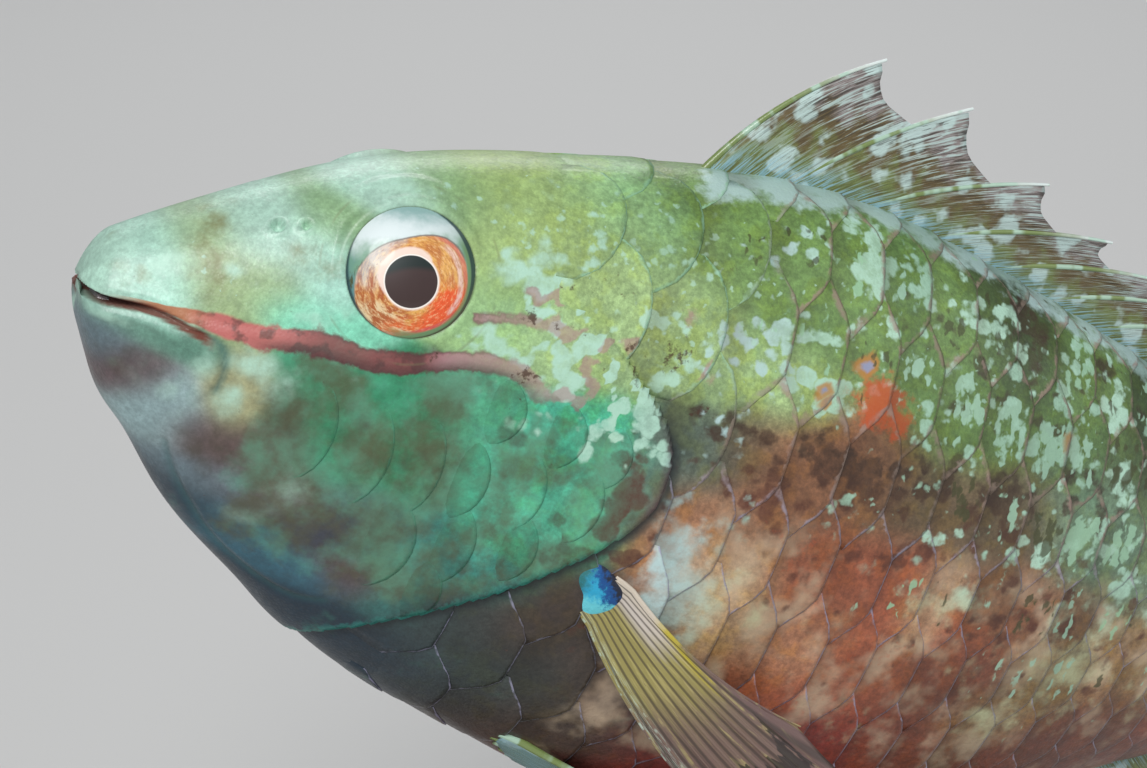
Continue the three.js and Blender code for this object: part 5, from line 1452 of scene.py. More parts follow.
def fin_membrane(name, plan, paint):
    """A thin closed sheet between the rays, slightly slack between each two."""
    inner = np.linspace(0.0, 1.0, SHEET_PER_GAP)
    u = np.concatenate([[i + 0.03 + 0.94 * f for f in inner] for i in range(plan.count - 1)])
    f = u - np.floor(u)
    reach = np.array([plan.reach(int(a), b) for a, b in zip(np.floor(u), f)])
    v = np.linspace(0, 1, SHEET_ROWS)
    v_out = -SHEET_SINK + (reach[:, None] + SHEET_SINK) * v[None, :]
    middle = plan.at(u[:, None], v_out)
    along = np.gradient(middle, axis=1)
    across = np.gradient(middle, axis=0)
    normal = unit(np.cross(along, across))
    slack = np.sin(math.pi * f)[:, None] * ease(0.05, 0.9, v_out)
    sway = np.sin(np.floor(u) * 2.4 + 0.7)[:, None] * 0.35 + 0.12 * np.sin(9 * v_out + u[:, None])
    middle = middle + normal * (slack * sway)[..., None]
    half = lerp(plan.thick_root, plan.thick_edge, ease(-0.05, 0.5, v_out))[..., None]
    points = np.concatenate([(middle + normal * half).reshape(-1, 3),
                             (middle - normal * half).reshape(-1, 3)])
    wide = len(u)
    tall = SHEET_ROWS
    count = wide * tall
    faces = grid_faces(wide, tall)
    faces += [tuple(count + k for k in reversed(face)) for face in grid_faces(wide, tall)]
    rim = [i * tall for i in range(wide)]
    rim += [(wide - 1) * tall + j for j in range(1, tall)]
    rim += [i * tall + tall - 1 for i in range(wide - 2, -1, -1)]
    rim += [j for j in range(tall - 2, 0, -1)]
    faces += [(rim[(k + 1) % len(rim)], rim[k], count + rim[k], count + rim[(k + 1) % len(rim)])
              for k in range(len(rim))]
    piece = mesh_piece(name, placed(points), faces, closed=True)
    fin_place = np.stack([np.broadcast_to(u[:, None], v_out.shape), v_out, np.zeros(v_out.shape)],
                         -1).reshape(-1, 3)
    write_values(piece.data, "fin_place", np.concatenate([fin_place, fin_place]))
    write_values(piece.data, "straight", points)
    piece.data.materials.append(paint)
    return piece


def ray_tree():
    tree = bpy.data.node_groups.new("ray_tubes", "GeometryNodeTree")
    add_sockets(tree, "INPUT", Lines="Geometry", Sides="Int", Paint="Material")
    add_sockets(tree, "OUTPUT", Rays="Geometry")
    given = node(tree, "NodeGroupInput")
    out = node(tree, "NodeGroupOutput")
    link = tree.links.new
    to_curve = node(tree, "GeometryNodeMeshToCurve")
    link(given.outputs["Lines"], to_curve.inputs["Mesh"])
    thick = node(tree, "GeometryNodeInputNamedAttribute", data_type="FLOAT")
    thick.inputs["Name"].default_value = "radius_m"
    radius = node(tree, "GeometryNodeSetCurveRadius")
    link(to_curve.outputs[0], radius.inputs["Curve"])
    link(thick.outputs["Attribute"], radius.inputs["Radius"])
    circle = node(tree, "GeometryNodeCurvePrimitiveCircle")
    link(given.outputs["Sides"], circle.inputs["Resolution"])
    circle.inputs["Radius"].default_value = 1.0
    tube = node(tree, "GeometryNodeCurveToMesh")
    link(radius.outputs[0], tube.inputs["Curve"])
    link(circle.outputs[0], tube.inputs["Profile Curve"])
    tube.inputs["Fill Caps"].default_value = True
    if "Scale" in tube.inputs:
        link(thick.outputs["Attribute"], tube.inputs["Scale"])
    real = node(tree, "GeometryNodeRealizeInstances")
    link(tube.outputs[0], real.inputs[0])
    paint = node(tree, "GeometryNodeSetMaterial")
    link(real.outputs[0], paint.inputs["Geometry"])
    link(given.outputs["Paint"], paint.inputs["Material"])
    link(paint.outputs[0], out.inputs[0])
    return tree


RAY_TUBES = ray_tree()


def fin_rays(name, plan, paint, root_radius, tip_radius, branches):
    """Tubes along the rays; a soft ray forks further out, as many times as branches says."""
    lines = []
    for i in range(plan.count):
        v = np.linspace(-0.1, 1.0 if i < plan.stiff else 0.985, RAY_STEPS)
        lines.append((np.full(RAY_STEPS, float(i)), v, lerp(root_radius, tip_radius,
                                                            np.clip(v, 0, 1) ** 0.8)))
        if i < plan.stiff:
            continue
        for fork in range(branches):
            start = 0.42 + 0.24 * fork
            v = np.linspace(start, 0.985, RAY_STEPS // 2)
            for way in (-1, 1):
                spread = way * (0.2 / (fork + 1) + (0.1 if fork else 0)) * ease(start, 1.1, v)
                u = np.clip(i + spread, 0, plan.count - 1)
                lines.append((u, v, lerp(root_radius, tip_radius, v) * 0.62))
    points = []
    radii = []
    places = []
    edges = []
    for u, v, radius in lines:
        start = len(radii)
        points.extend(plan.at(u, v))
        radii.extend(radius / 1000)
        places.extend(zip(u, v, np.ones(len(u))))
        edges.extend((start + k, start + k + 1) for k in range(len(u) - 1))
    mesh = bpy.data.meshes.new(name + "_lines")
    mesh.from_pydata([tuple(p) for p in placed(np.array(points))], edges, [])
    piece = bpy.data.objects.new(name + "_lines", mesh)
    bpy.context.scene.collection.objects.link(piece)
    write_values(mesh, "radius_m", np.array(radii))
    write_values(mesh, "fin_place", np.array(places))
    layer = piece.modifiers.new("tubes", "NODES")
    layer.node_group = RAY_TUBES
    set_inputs(layer, Sides=8, Paint=paint)
    real = made_real(piece, name)
    real.data.polygons.foreach_set("use_smooth", [True] * len(real.data.polygons))
    return real


# %% Paints of the fins
FIN_OLIVE = tone(112, 124, 66)
FIN_BROWN = tone(100, 84, 50)
FIN_MAUVE = tone(140, 130, 128)
FIN_PALE = tone(190, 214, 210)
FIN_BLUE = tone(126, 178, 200)
SPINE_GREEN = tone(118, 136, 80)
SPINE_MINT = tone(176, 208, 190)
RAY_OLIVE = tone(150, 146, 66)
STREAK_DARK = tone(48, 42, 34)
TAIL_OLIVE = tone(112, 96, 56)
TAIL_BROWN = tone(120, 82, 56)
TAIL_DARK = tone(60, 52, 50)
TAIL_PALE = tone(160, 164, 140)
PELVIC_GREEN = tone(120, 148, 130)
PELVIC_GREY = tone(104, 110, 96)
PELVIC_DARK = tone(96, 86, 80)
SPINE_WHITE = tone(214, 226, 222)
RAY_BROWN = tone(126, 96, 70)
RAY_STRAW = tone(182, 176, 120)


def fin_colour(tree, near, middle, far, fine=30.0):
    """A colour by share of the way out, with fine striations along the rays; gives the streaks too."""
    parts = split(tree, named(tree, "fin_place", "Vector"))
    cloud = less(tree, noise(tree, named(tree, "straight", "Vector"), 0.3, 4.0), 0.5)
    out_share = maths(tree, "MULTIPLY_ADD", cloud, 0.9, parts["Y"])
    streak_place = joined(tree, times(tree, parts["X"], fine), times(tree, parts["Y"], 5.0))
    streaks = noise(tree, shaken(tree, streak_place, 0.7, 2.4), 1.0, 4.0, 0.6)
    colour = blend(tree, rise(tree, out_share, 0.15, 0.42), near, middle)
    colour = blend(tree, rise(tree, out_share, 0.48, 0.74), colour, far)
    return colour, streaks, parts


def fin_paint(name, near, middle, far, blotch, amount):
    material, tree, shader = new_material(name, 0.45)
    body_place = named(tree, "straight", "Vector")
    colour, streaks, parts = fin_colour(tree, near, middle, far)
    to_ray = maths(tree, "PINGPONG", parts["X"], 0.5)
    by_ray = rise(tree, to_ray, 0.2, 0.06)
    weight = maths(tree, "MULTIPLY_ADD", by_ray, 0.14, amount)
    marks = use_group(tree, DROPS, Place=body_place, Weight=weight, Per_mm=0.3, Ragged=1.2, Soft=0.14)
    colour = blend(tree, times(tree, marks.outputs[0], 0.85), colour, blotch)
    outer = rise(tree, parts["Y"], 0.3, 0.62)
    pale_streak = times(tree, rise(tree, streaks, 0.5, 0.6), rise(tree, outer, 0.0, 1.0, 0.3, 0.75))
    dark_streak = times(tree, rise(tree, streaks, 0.48, 0.38), rise(tree, outer, 0.0, 1.0, 0.4, 0.8))
    colour = blend(tree, pale_streak, colour, blotch)
    colour = blend(tree, dark_streak, colour, STREAK_DARK)
    root_blue = times(tree, rise(tree, parts["Y"], 0.26, 0.02), rise(tree, streaks, 0.44, 0.56))
    colour = blend(tree, times(tree, root_blue, 0.7), colour, FIN_BLUE)
    feed(tree, shader.inputs["Base Color"], colour)
    bump(tree, shader, streaks, 0.6, 0.0003)
    return material


def ray_paint(name, near, far, patch):
    """Rays that pale towards their tips, with pale patches along them."""
    material, tree, shader = new_material(name, 0.35)
    place = named(tree, "fin_place", "Vector")
    parts = split(tree, place)
    out_share = maths(tree, "MULTIPLY_ADD", noise(tree, place, 6.0, 3.0), 0.3, parts["Y"])
    colour = blend(tree, rise(tree, out_share, 0.7, 1.1), near, far)
    patch_place = joined(tree, times(tree, parts["X"], 1.7), times(tree, parts["Y"], 6.0))
    patches = rise(tree, noise(tree, patch_place, 1.0, 2.0), 0.5, 0.58, 0.0, 0.8)
    colour = blend(tree, patches, colour, patch)
    feed(tree, shader.inputs["Base Color"], colour)
    shader.inputs["Coat Weight"].default_value = 0.2
    joints = noise(tree, place, 40.0, 2.0)
    bump(tree, shader, joints, 0.2, 0.0002)
    return material


DORSAL_PAINT = fin_paint("dorsal_membrane", FIN_OLIVE, FIN_BROWN, FIN_MAUVE, FIN_PALE, 0.42)
TAIL_PAINT = fin_paint("tail_membrane", TAIL_OLIVE, TAIL_BROWN, TAIL_DARK, TAIL_PALE, 0.3)
PELVIC_PAINT = fin_paint("pelvic_membrane", PELVIC_GREEN, PELVIC_GREY, PELVIC_DARK, FIN_PALE, 0.38)
SPINE_PAINT = ray_paint("fin_spines", SPINE_GREEN, SPINE_WHITE, SPINE_MINT)
RAY_PAINT = ray_paint("fin_rays", RAY_OLIVE, RAY_BROWN, RAY_STRAW)

# %% Paint of the pectoral fins
ARM_KHAKI = tone(150, 140, 82)
ARM_MAUVE = tone(112, 88, 84)
ARM_WHITE = tone(206, 196, 192)
ARM_YELLOW = tone(196, 178, 44)
ARM_LINE = tone(54, 44, 38)
ARM_STRAW = tone(186, 174, 110)
ARM_EDGE = tone(186, 206, 190)
ARM_BLACK = tone(30, 26, 26)


def arm_colour(tree):
    """White wedge and yellow streak at the root, khaki, then mauve with a black patch."""
    colour, streaks, parts = fin_colour(tree, ARM_KHAKI, ARM_KHAKI, ARM_MAUVE, 1.6)
    ray = parts["X"]
    out_share = maths(tree, "MULTIPLY_ADD", less(tree, streaks, 0.5), 0.35, parts["Y"])
    colour = blend(tree, rise(tree, out_share, 0.22, 0.46, 0.0, 0.9), colour, ARM_MAUVE)
    colour = blend(tree, rise(tree, streaks, 0.52, 0.66, 0.0, 0.5), colour, ARM_STRAW)
    yellow = times(tree, rise(tree, ray, 2.8, 0.8), rise(tree, out_share, 0.36, 0.26))
    colour = blend(tree, times(tree, yellow, 0.75), colour, ARM_YELLOW)
    white = times(tree, rise(tree, ray, 5.6, 3.0), rise(tree, out_share, 0.24, 0.1))
    colour = blend(tree, times(tree, white, 0.8), colour, ARM_WHITE)
    low_edge = times(tree, rise(tree, ray, 9.0, 10.6), rise(tree, noise(tree,
                                                                        named(tree, "fin_place", "Vector"),
                                                                        14.0), 0.5, 0.6))
    colour = blend(tree, times(tree, low_edge, 0.7), colour, ARM_EDGE)
    black = times(tree, rise(tree, maths(tree, "ABSOLUTE", less(tree, parts["Y"], 0.66)), 0.13, 0.04),
                  rise(tree, maths(tree, "ABSOLUTE", less(tree, ray, 4.0)), 4.8, 2.0))
    broken = rise(tree, maths(tree, "MULTIPLY_ADD", less(tree, streaks, 0.5), 2.4, black), 0.5, 0.62)
    colour = blend(tree, times(tree, broken, 0.85), colour, ARM_BLACK)
    return colour, streaks, parts


PECTORAL_PAINT, tree, shader = new_material("pectoral_membrane", 0.42)
colour, streaks, parts = arm_colour(tree)
between = rise(tree, maths(tree, "PINGPONG", parts["X"], 0.5), 0.24, 0.44, 0.0, 0.7)
colour = blend(tree, between, colour, ARM_LINE)
feed(tree, shader.inputs["Base Color"], colour)
shader.inputs["Alpha"].default_value = 0.95
bump(tree, shader, streaks, 0.5, 0.0003)
ARM_PAINT, tree, shader = new_material("pectoral_rays", 0.4)
colour, streaks, parts = arm_colour(tree)
feed(tree, shader.inputs["Base Color"], colour)
shader.inputs["Coat Weight"].default_value = 0.2
bump(tree, shader, noise(tree, named(tree, "fin_place", "Vector"), 40.0, 2.0), 0.2, 0.0002)

# %% Dorsal and anal fins
DORSAL_RAYS = 19
DORSAL_SPINES = 9
ANAL_RAYS = 12
ANAL_SPINES = 3


def lean(angle, length):
    turn = math.radians(angle)
    return np.array([length * math.cos(turn), 0, length * math.sin(turn)])


dorsal_lean = spline([(0, 47.6), (1, 37.6), (2, 21), (3, 12), (5, 8.5), (8, 6.5), (12, 4), (18, 2)])
dorsal_length = spline([(0, 23.2), (1, 22.5), (2, 22.8), (3, 24), (5, 24), (9, 23), (13, 23), (18, 17)])
dorsal_x = [61 + 10.4 * i - 0.22 * i * i for i in range(DORSAL_RAYS)]
dorsal_roots = [(x, 0, float(top_at(x)) - 0.3) for x in dorsal_x]
dorsal_tips = [np.array([x, 0, float(top_at(x))]) + lean(float(dorsal_lean(i)), float(dorsal_length(i)))
               for i, x in enumerate(dorsal_x)]
dorsal_arches = [lean(float(dorsal_lean(i)) + 90, 1.7 if i < 1 else 0.9) for i in range(DORSAL_RAYS)]


def dorsal_reach(i, f):
    if i < DORSAL_SPINES - 1:
        return float(np.interp(f, [0, 0.1, 0.3, 0.55, 0.9, 1], [0.97, 0.94, 0.83, 0.74, 0.69, 0.68]))
    return scalloped(0.97, 0.03)(i, f)


dorsal = FinPlan(dorsal_roots, dorsal_tips, dorsal_arches, dorsal_reach, 0.5, 0.13, DORSAL_SPINES)

anal_length = spline([(0, 8), (1, 12.5), (2, 16.5), (3, 19), (6, 19.5), (9, 18), (11, 14)])
anal_x = [117.5 + 4.9 * i - 0.06 * i * i for i in range(ANAL_RAYS)]
anal_roots = [(x, 0, float(bottom_at(x)) + 0.3) for x in anal_x]
anal_tips = [np.array([x, 0, float(bottom_at(x))]) + lean(-38 + 1.8 * i, float(anal_length(i)))
             for i, x in enumerate(anal_x)]
anal_arches = [lean(-128 + 1.8 * i, 0.7) for i in range(ANAL_RAYS)]


def anal_reach(i, f):
    return 0.95 - 0.2 * f if i < ANAL_SPINES - 1 else scalloped(0.97, 0.03)(i, f)


anal = FinPlan(anal_roots, anal_tips, anal_arches, anal_reach, 0.5, 0.13, ANAL_SPINES)

# %% Tail fin
TAIL_RAYS = 13
tail_middle = float(top_at(BODY_LENGTH) + bottom_at(BODY_LENGTH)) / 2
tail_half = float(top_at(BODY_LENGTH) - bottom_at(BODY_LENGTH)) / 2
tail_roots = []
tail_tips = []
tail_arches = []
for i in range(TAIL_RAYS):
    t = 2 * i / (TAIL_RAYS - 1) - 1
    root = np.array([BODY_LENGTH - 1, 0, tail_middle + (tail_half - 0.4) * t])
    tail_roots.append(root)
    tail_tips.append(root + np.array([1.3, 0, 0]) + lean(21 * t, 41 + 8 * (0.5 * t * t + abs(t) ** 7)))
    tail_arches.append(lean(90, 1.2 * t))
tail = FinPlan(tail_roots, tail_tips, tail_arches, scalloped(0.985, 0.02), 1.2, 0.14, 0)

# %% Paired fins
PECTORAL_RAYS = 12
PELVIC_RAYS = 6
pectoral_length = spline([(0, 24), (1, 37), (2.5, 41), (6, 38), (9, 33), (11, 27)])
pelvic_length = spline([(0, 25), (1, 37), (2, 36), (3, 32), (5, 22)])


def pectoral_plan(side):
    roots = []
    tips = []
    for i in range(PECTORAL_RAYS):
        s = i / (PECTORAL_RAYS - 1)
        x = lerp(63.2, 60.4, s) + 0.5 * math.sin(math.pi * s)
        z = lerp(-11.6, -16.8, s)
        root = np.array([x, -(float(side_at(x, z)) + 0.2), z])
        angle = math.radians(lerp(-22, -38, s))
        way = np.array([math.cos(angle), -0.22 - 0.1 * math.sin(math.pi * s), math.sin(angle)])
        tips.append((root + unit(way) * float(pectoral_length(i))) * np.array([1, side, 1]))
        roots.append(root * np.array([1, side, 1]))
    arches = [(-1.0, -0.9 * side, -1.1)] * PECTORAL_RAYS
    return FinPlan(roots, tips, arches, scalloped(0.97, 0.02), 0.5, 0.11, 1)


def pelvic_plan(side):
    roots = []
    tips = []
    for i in range(PELVIC_RAYS):
        s = i / (PELVIC_RAYS - 1)
        x = lerp(61.5, 65.5, s)
        y = lerp(8.6, 4.6, s)
        mid = float(widest(x))
        inner = min(1, y / float(width_at(x))) ** (1 / float(lower_power(x)))
        root = np.array([x, -y, mid - (mid - float(bottom_at(x))) * math.sqrt(1 - inner * inner) - 0.1])
        way = np.array([1, lerp(-0.30, -0.02, s), lerp(-0.10, -0.24, s)])
        tips.append((root + unit(way) * float(pelvic_length(i))) * np.array([1, side, 1]))
        roots.append(root * np.array([1, side, 1]))
    return FinPlan(roots, tips, [(0, 0, -0.8)] * PELVIC_RAYS, scalloped(0.97, 0.05), 0.5, 0.12, 1)


FINS = [
    ("dorsal_fin", dorsal, DORSAL_PAINT, SPINE_PAINT, 0.5, 0.17, 1),
    ("anal_fin", anal, DORSAL_PAINT, SPINE_PAINT, 0.5, 0.18, 1),
    ("caudal_fin", tail, TAIL_PAINT, RAY_PAINT, 0.6, 0.16, 2),
    ("pectoral_fin_left", pectoral_plan(1), PECTORAL_PAINT, ARM_PAINT, 0.3, 0.09, 2),
    ("pectoral_fin_right", pectoral_plan(-1), PECTORAL_PAINT, ARM_PAINT, 0.3, 0.09, 2),
    ("pelvic_fin_left", pelvic_plan(1), PELVIC_PAINT, SPINE_PAINT, 0.5, 0.16, 2),
    ("pelvic_fin_right", pelvic_plan(-1), PELVIC_PAINT, SPINE_PAINT, 0.5, 0.16, 2),
]
fin_pieces = {}
for fin_name, plan, sheet_paint, tube_paint, root_radius, tip_radius, forks in FINS:
    sheet = fin_membrane(fin_name + "_membrane", plan, sheet_paint)
    rays = fin_rays(fin_name + "_rays", plan, tube_paint, root_radius, tip_radius, forks)
    fin_pieces[fin_name] = (sheet, rays)
    print(fin_name, len(sheet.data.polygons), "+", len(rays.data.polygons), "faces")

# %% [markdown]
# ## Fleshy base of the pectoral fins
# The rays of a pectoral fin spring from a small fleshy lobe, bright blue on this fish with a blue
# black patch. It could be part of the skin, but a dome of its own lets the rays pass under its edge.
# %% Pectoral lobes
LOBE = (60.4, -13.0)
LOBE_REACH = (3.5, 3.4)
LOBE_HIGH = 1.2
LOBE_TEAL = tone(36, 112, 116)
LOBE_BLUE = tone(40, 164, 204)
LOBE_SKY = tone(112, 210, 216)
LOBE_DEEP = tone(8, 76, 140)
LOBE_BLACK = tone(20, 28, 48)


def lobe_piece(name, side):
    shares = np.linspace(0.04, 1, 16)
    turn = np.linspace(0, 2 * math.pi, 48, endpoint=False)
    uneven = 1 + 0.12 * np.sin(3 * turn + 1.2) + 0.07 * np.sin(5 * turn)
    across = shares[:, None] * np.cos(turn) * LOBE_REACH[0] * uneven
    up = shares[:, None] * np.sin(turn) * LOBE_REACH[1] * uneven
    x = LOBE[0] + across - 0.35 * up
    z = LOBE[1] + up
    high = LOBE_HIGH * np.sqrt(1 - np.minimum(shares, 1) ** 2)[:, None] - 0.5
    dome = np.stack([x, -(side_at(x, z) + high), z], -1)
    under = dome[-1] + np.array([0, 1.2, 0])
    top = np.array([[LOBE[0], -(side_at(LOBE[0], LOBE[1]) + LOBE_HIGH - 0.5), LOBE[1]]])
    points = np.concatenate([dome.reshape(-1, 3), under, top, top + np.array([[0, 2.6,
                                                                               0]])]) * np.array([1, side,
                                                                                                  1])
    rings = len(shares) + 1
    faces = grid_faces(rings, len(turn), around=True)
    count = rings * len(turn)
    low = (rings - 1) * len(turn)
    faces += [(count, (j + 1) % len(turn), j) for j in range(len(turn))]
    faces += [(count + 1, low + j, low + (j + 1) % len(turn)) for j in range(len(turn))]
    piece = mesh_piece(name, placed(points), faces, closed=True)
    write_values(piece.data, "straight", points)
    return piece


LOBE_PAINT, tree, shader = new_material("pectoral_lobe", 0.45)
lobe_place = named(tree, "straight", "Vector")
lobe_parts = split(tree, lobe_place)
lobe_grain = noise(tree, lobe_place, 1.4, 5.0, 0.65)
lobe_up = maths(tree, "MULTIPLY_ADD", lobe_grain, 3.0, lobe_parts["Z"])
lobe_back = maths(tree, "MULTIPLY_ADD", lobe_grain, 3.0, lobe_parts["X"])
lobe_corner = maths(tree, "ADD", lobe_up, lobe_back)
colour = blend(tree, rise(tree, lobe_back, 58.8, 60.4), LOBE_TEAL, LOBE_BLUE)
colour = blend(tree, rise(tree, lobe_up, -11.6, -12.8, 0.0, 0.8), colour, LOBE_SKY)
colour = blend(tree, rise(tree, lobe_corner, 49.6, 51.0), colour, LOBE_DEEP)
colour = blend(tree, rise(tree, lobe_corner, 51.4, 52.6), colour, LOBE_BLACK)
feed(tree, shader.inputs["Base Color"], colour)
bump(tree, shader, lobe_grain, 0.5, 0.0004)
lobes = []
for label, side in (("left", 1), ("right", -1)):
    lobes.append(lobe_piece(f"pectoral_lobe_{label}", side))
    lobes[-1].data.materials.append(LOBE_PAINT)
print("lobes:", [len(lobe.data.polygons) for lobe in lobes])

# %% [markdown]
# ## Eyes
# A fish's eye is a ball set in its orbit, with an iris round a dark pupil and a clear cornea over
# all. A ball and a separate glass dome would be truest, but glass needs many samples to show the
# iris. One lens with the iris painted by ovals and a glossy coat reads the same at this size.
# %% Eyeballs
WHITE_GREEN = tone(112, 156, 128)
WHITE_PALE_HIGHLIGHT = tone(216, 228, 228)
WHITE_TOP = tone(138, 174, 170)
WHITE_FRONT = tone(84, 128, 138)
WHITE_SPECK = tone(72, 76, 40)
IRIS_AMBER = tone(226, 168, 84)
IRIS_OCHRE = tone(196, 122, 56)
IRIS_CREAM = tone(232, 222, 200)
IRIS_BROWN = tone(168, 84, 36)
IRIS_SAND = tone(226, 208, 170)
IRIS_ORANGE = tone(228, 106, 44)
IRIS_RED = tone(236, 88, 32)
IRIS_GREY = tone(176, 168, 164)
IRIS_TAN = tone(196, 140, 84)
THREAD_PALE = tone(246, 214, 160)
THREAD_DARK = tone(140, 74, 34)
IRIS_BAND_HIGHLIGHT = tone(238, 206, 194)
IRIS_PINK = tone(206, 84, 96)
IRIS_SEAM = tone(112, 100, 92)
PUPIL_HALO = tone(240, 218, 206)
PUPIL_RING = tone(244, 238, 230)
PUPIL_LOW = tone(58, 40, 38)
PUPIL_TOP = tone(8, 30, 28)
EYE_GREEN = tone(108, 142, 92)
EYE_RIM_SHADE_TEAL = tone(26, 56, 60)
EYE_RIM_SHADE_BROWN = tone(70, 58, 44)


def eye_piece(name, side):
    centre = (EYE - EYE_AXIS * EYE_DEPTH) * np.array([1, side, 1])
    axis = EYE_AXIS * np.array([1, side, 1])
    first = unit(np.cross(np.array([0, 0, 1.0]), axis))
    second = np.cross(axis, first)
    rings = 40
    spokes = 72
    turn = np.linspace(0, 2 * math.pi, spokes, endpoint=False)
    down = np.linspace(0, math.pi, rings)[1:-1]
    out = EYE_RADIUS * np.sin(down)[:, None, None]
    circle = np.cos(turn)[None, :, None] * first + np.sin(turn)[None, :, None] * second
    points = centre + circle * out + axis * (EYE_HALF_THICK * np.cos(down))[:, None, None]
    count = (rings - 2) * spokes
    faces = grid_faces(rings - 2, spokes, around=True)
    faces += [(count, j, (j + 1) % spokes) for j in range(spokes)]
    low = (rings - 3) * spokes
    faces += [(count + 1, low + (j + 1) % spokes, low + j) for j in range(spokes)]
    ends_in = np.array([centre + axis * EYE_HALF_THICK, centre - axis * EYE_HALF_THICK])
    piece = mesh_piece(name, placed(np.concatenate([points.reshape(-1, 3), ends_in])), faces, closed=True)
    flat = np.concatenate([(circle * out / EYE_RADIUS).reshape(-1, 3), np.zeros((2, 3))])
    tailwards = np.array([math.cos(PITCH), 0, math.sin(PITCH)])
    upwards = np.array([-math.sin(PITCH), 0, math.cos(PITCH)])
    front = np.concatenate([np.repeat(np.cos(down), spokes), [1, -1]])
    write_values(piece.data, "iris_place", np.stack([flat @ tailwards, flat @ upwards, front], -1))
    return piece


EYE_PAINT, tree, shader = new_material("eye", 0.5)
iris_place = named(tree, "iris_place", "Vector")
parts = split(tree, iris_place)
eye_u = parts["X"]
eye_v = parts["Y"]
PUPIL = (-0.06, -0.12)
wobble = less(tree, noise(tree, iris_place, 3.2, 4.0, 0.6), 0.5)


def both(a, b):
    return times(tree, a, b)


def oval(centre_u, centre_v, reach_u, reach_v, tilt=0.0, ragged=0.0, power=2.0):
    """1 on an oval round a centre, less inside; tilt lifts its right end, a power over 2 squares it off."""
    across = both(less(tree, eye_u, centre_u), 1 / reach_u)
    up = less(tree, less(tree, eye_v, centre_v), both(eye_u, tilt))
    up = both(up, 1 / reach_v)
    total = maths(tree, "ADD", maths(tree, "POWER", maths(tree, "ABSOLUTE", across), power),
                  maths(tree, "POWER", maths(tree, "ABSOLUTE", up), power))
    return maths(tree, "MULTIPLY_ADD", wobble, ragged, maths(tree, "POWER", total, 1 / power))


def mixed(share_u, share_v, low, high):
    """Rises along one direction over the eye's face."""
    way = maths(tree, "ADD", both(eye_u, share_u), both(eye_v, share_v))
    return rise(tree, maths(tree, "MULTIPLY_ADD", wobble, 0.4, way), low, high)


iris = oval(-0.03, -0.17, 0.775, 0.605, 0.1, 0.05, 2.5)
pupil = oval(PUPIL[0], PUPIL[1], 0.355, 0.33, 0.0, 0.03)
whole = oval(0.0, 0.0, 0.95, 0.95)
turned = maths(tree, "ARCTAN2", less(tree, eye_v, PUPIL[1]), less(tree, eye_u, PUPIL[0]))
ring_place = joined(tree, maths(tree, "COSINE", turned), maths(tree, "SINE", turned), both(pupil, 1.9))
mottle = noise(tree, shaken(tree, ring_place, 2.6, 0.25), 2.3, 5.0, 0.62)
threads = noise(tree, ring_place, 7.0, 4.0, 0.65)
# The white of the eye: pale in a crescent above the iris, partly its own colour and partly a painted
# highlight.
colour = blend(tree, mixed(0, 1, 0.2, 0.52), WHITE_GREEN, WHITE_PALE_HIGHLIGHT)
colour = blend(tree, mixed(0.25, 1, 0.52, 0.86), colour, WHITE_TOP)
colour = blend(tree, both(mixed(-0.9, -0.4, 0.5, 0.85), 0.8), colour, WHITE_FRONT)
colour = blend(tree, both(rise(tree, mottle, 0.58, 0.7), mixed(-1, 0.1, 0.4, 0.7)), colour, WHITE_SPECK)
flesh = blend(tree, rise(tree, mottle, 0.4, 0.62), IRIS_AMBER, IRIS_OCHRE)
flesh = blend(tree, both(mixed(-1, 0.0, 0.3, 0.5), mixed(0, 1, -0.22, 0.0)), flesh, IRIS_CREAM)
low_left = both(mixed(-0.8, -0.6, 0.3, 0.46), rise(tree, mottle, 0.36, 0.6, 0.15, 0.9))
flesh = blend(tree, low_left, flesh, IRIS_BROWN)
flesh = blend(tree, both(mixed(-0.6, -0.9, 0.6, 0.72), rise(tree, mottle, 0.54, 0.42, 0.0, 0.8)), flesh,
              IRIS_SAND)
flesh = blend(tree, both(mixed(0.3, -1, 0.44, 0.6), rise(tree, mottle, 0.34, 0.5)), flesh, IRIS_ORANGE)
flesh = blend(tree, both(mixed(0.8, -0.5, 0.3, 0.44), mixed(-0.2, -1, 0.02, 0.2)), flesh, IRIS_RED)
flesh = blend(tree, both(mixed(-0.55, 0.8, 0.3, 0.46), 0.85), flesh, IRIS_GREY)
flesh = blend(tree, both(mixed(0.5, 0.8, 0.36, 0.5), 0.7), flesh, IRIS_TAN)
flesh = blend(tree, rise(tree, threads, 0.5, 0.66, 0.0, 0.5), flesh, THREAD_PALE)
flesh = blend(tree, rise(tree, threads, 0.46, 0.34, 0.0, 0.45), flesh, THREAD_DARK)
# A pale pink band in the outer iris, on its rear side only: a painted highlight.
band = both(rise(tree, iris, 0.78, 0.84), rise(tree, iris, 0.93, 0.88))
band = both(band, rise(tree, threads, 0.38, 0.56, 0.35, 0.85))
flesh = blend(tree, both(band, mixed(1, 0.0, 0.36, 0.56)), flesh, IRIS_BAND_HIGHLIGHT)
pink = both(rise(tree, iris, 0.9, 0.94), maths(tree, "MAXIMUM", mixed(1, 0.5, 0.4, 0.6),
                                               mixed(0, -1, 0.55, 0.65)))
flesh = blend(tree, both(pink, 0.55), flesh, IRIS_PINK)
colour = blend(tree, rise(tree, iris, 1.02, 0.98), colour, flesh)
seam = both(rise(tree, iris, 0.98, 1.0), rise(tree, iris, 1.035, 1.01))
colour = blend(tree, both(both(seam, mixed(0.1, 1, 0.1, 0.3)), 0.8), colour, IRIS_SEAM)
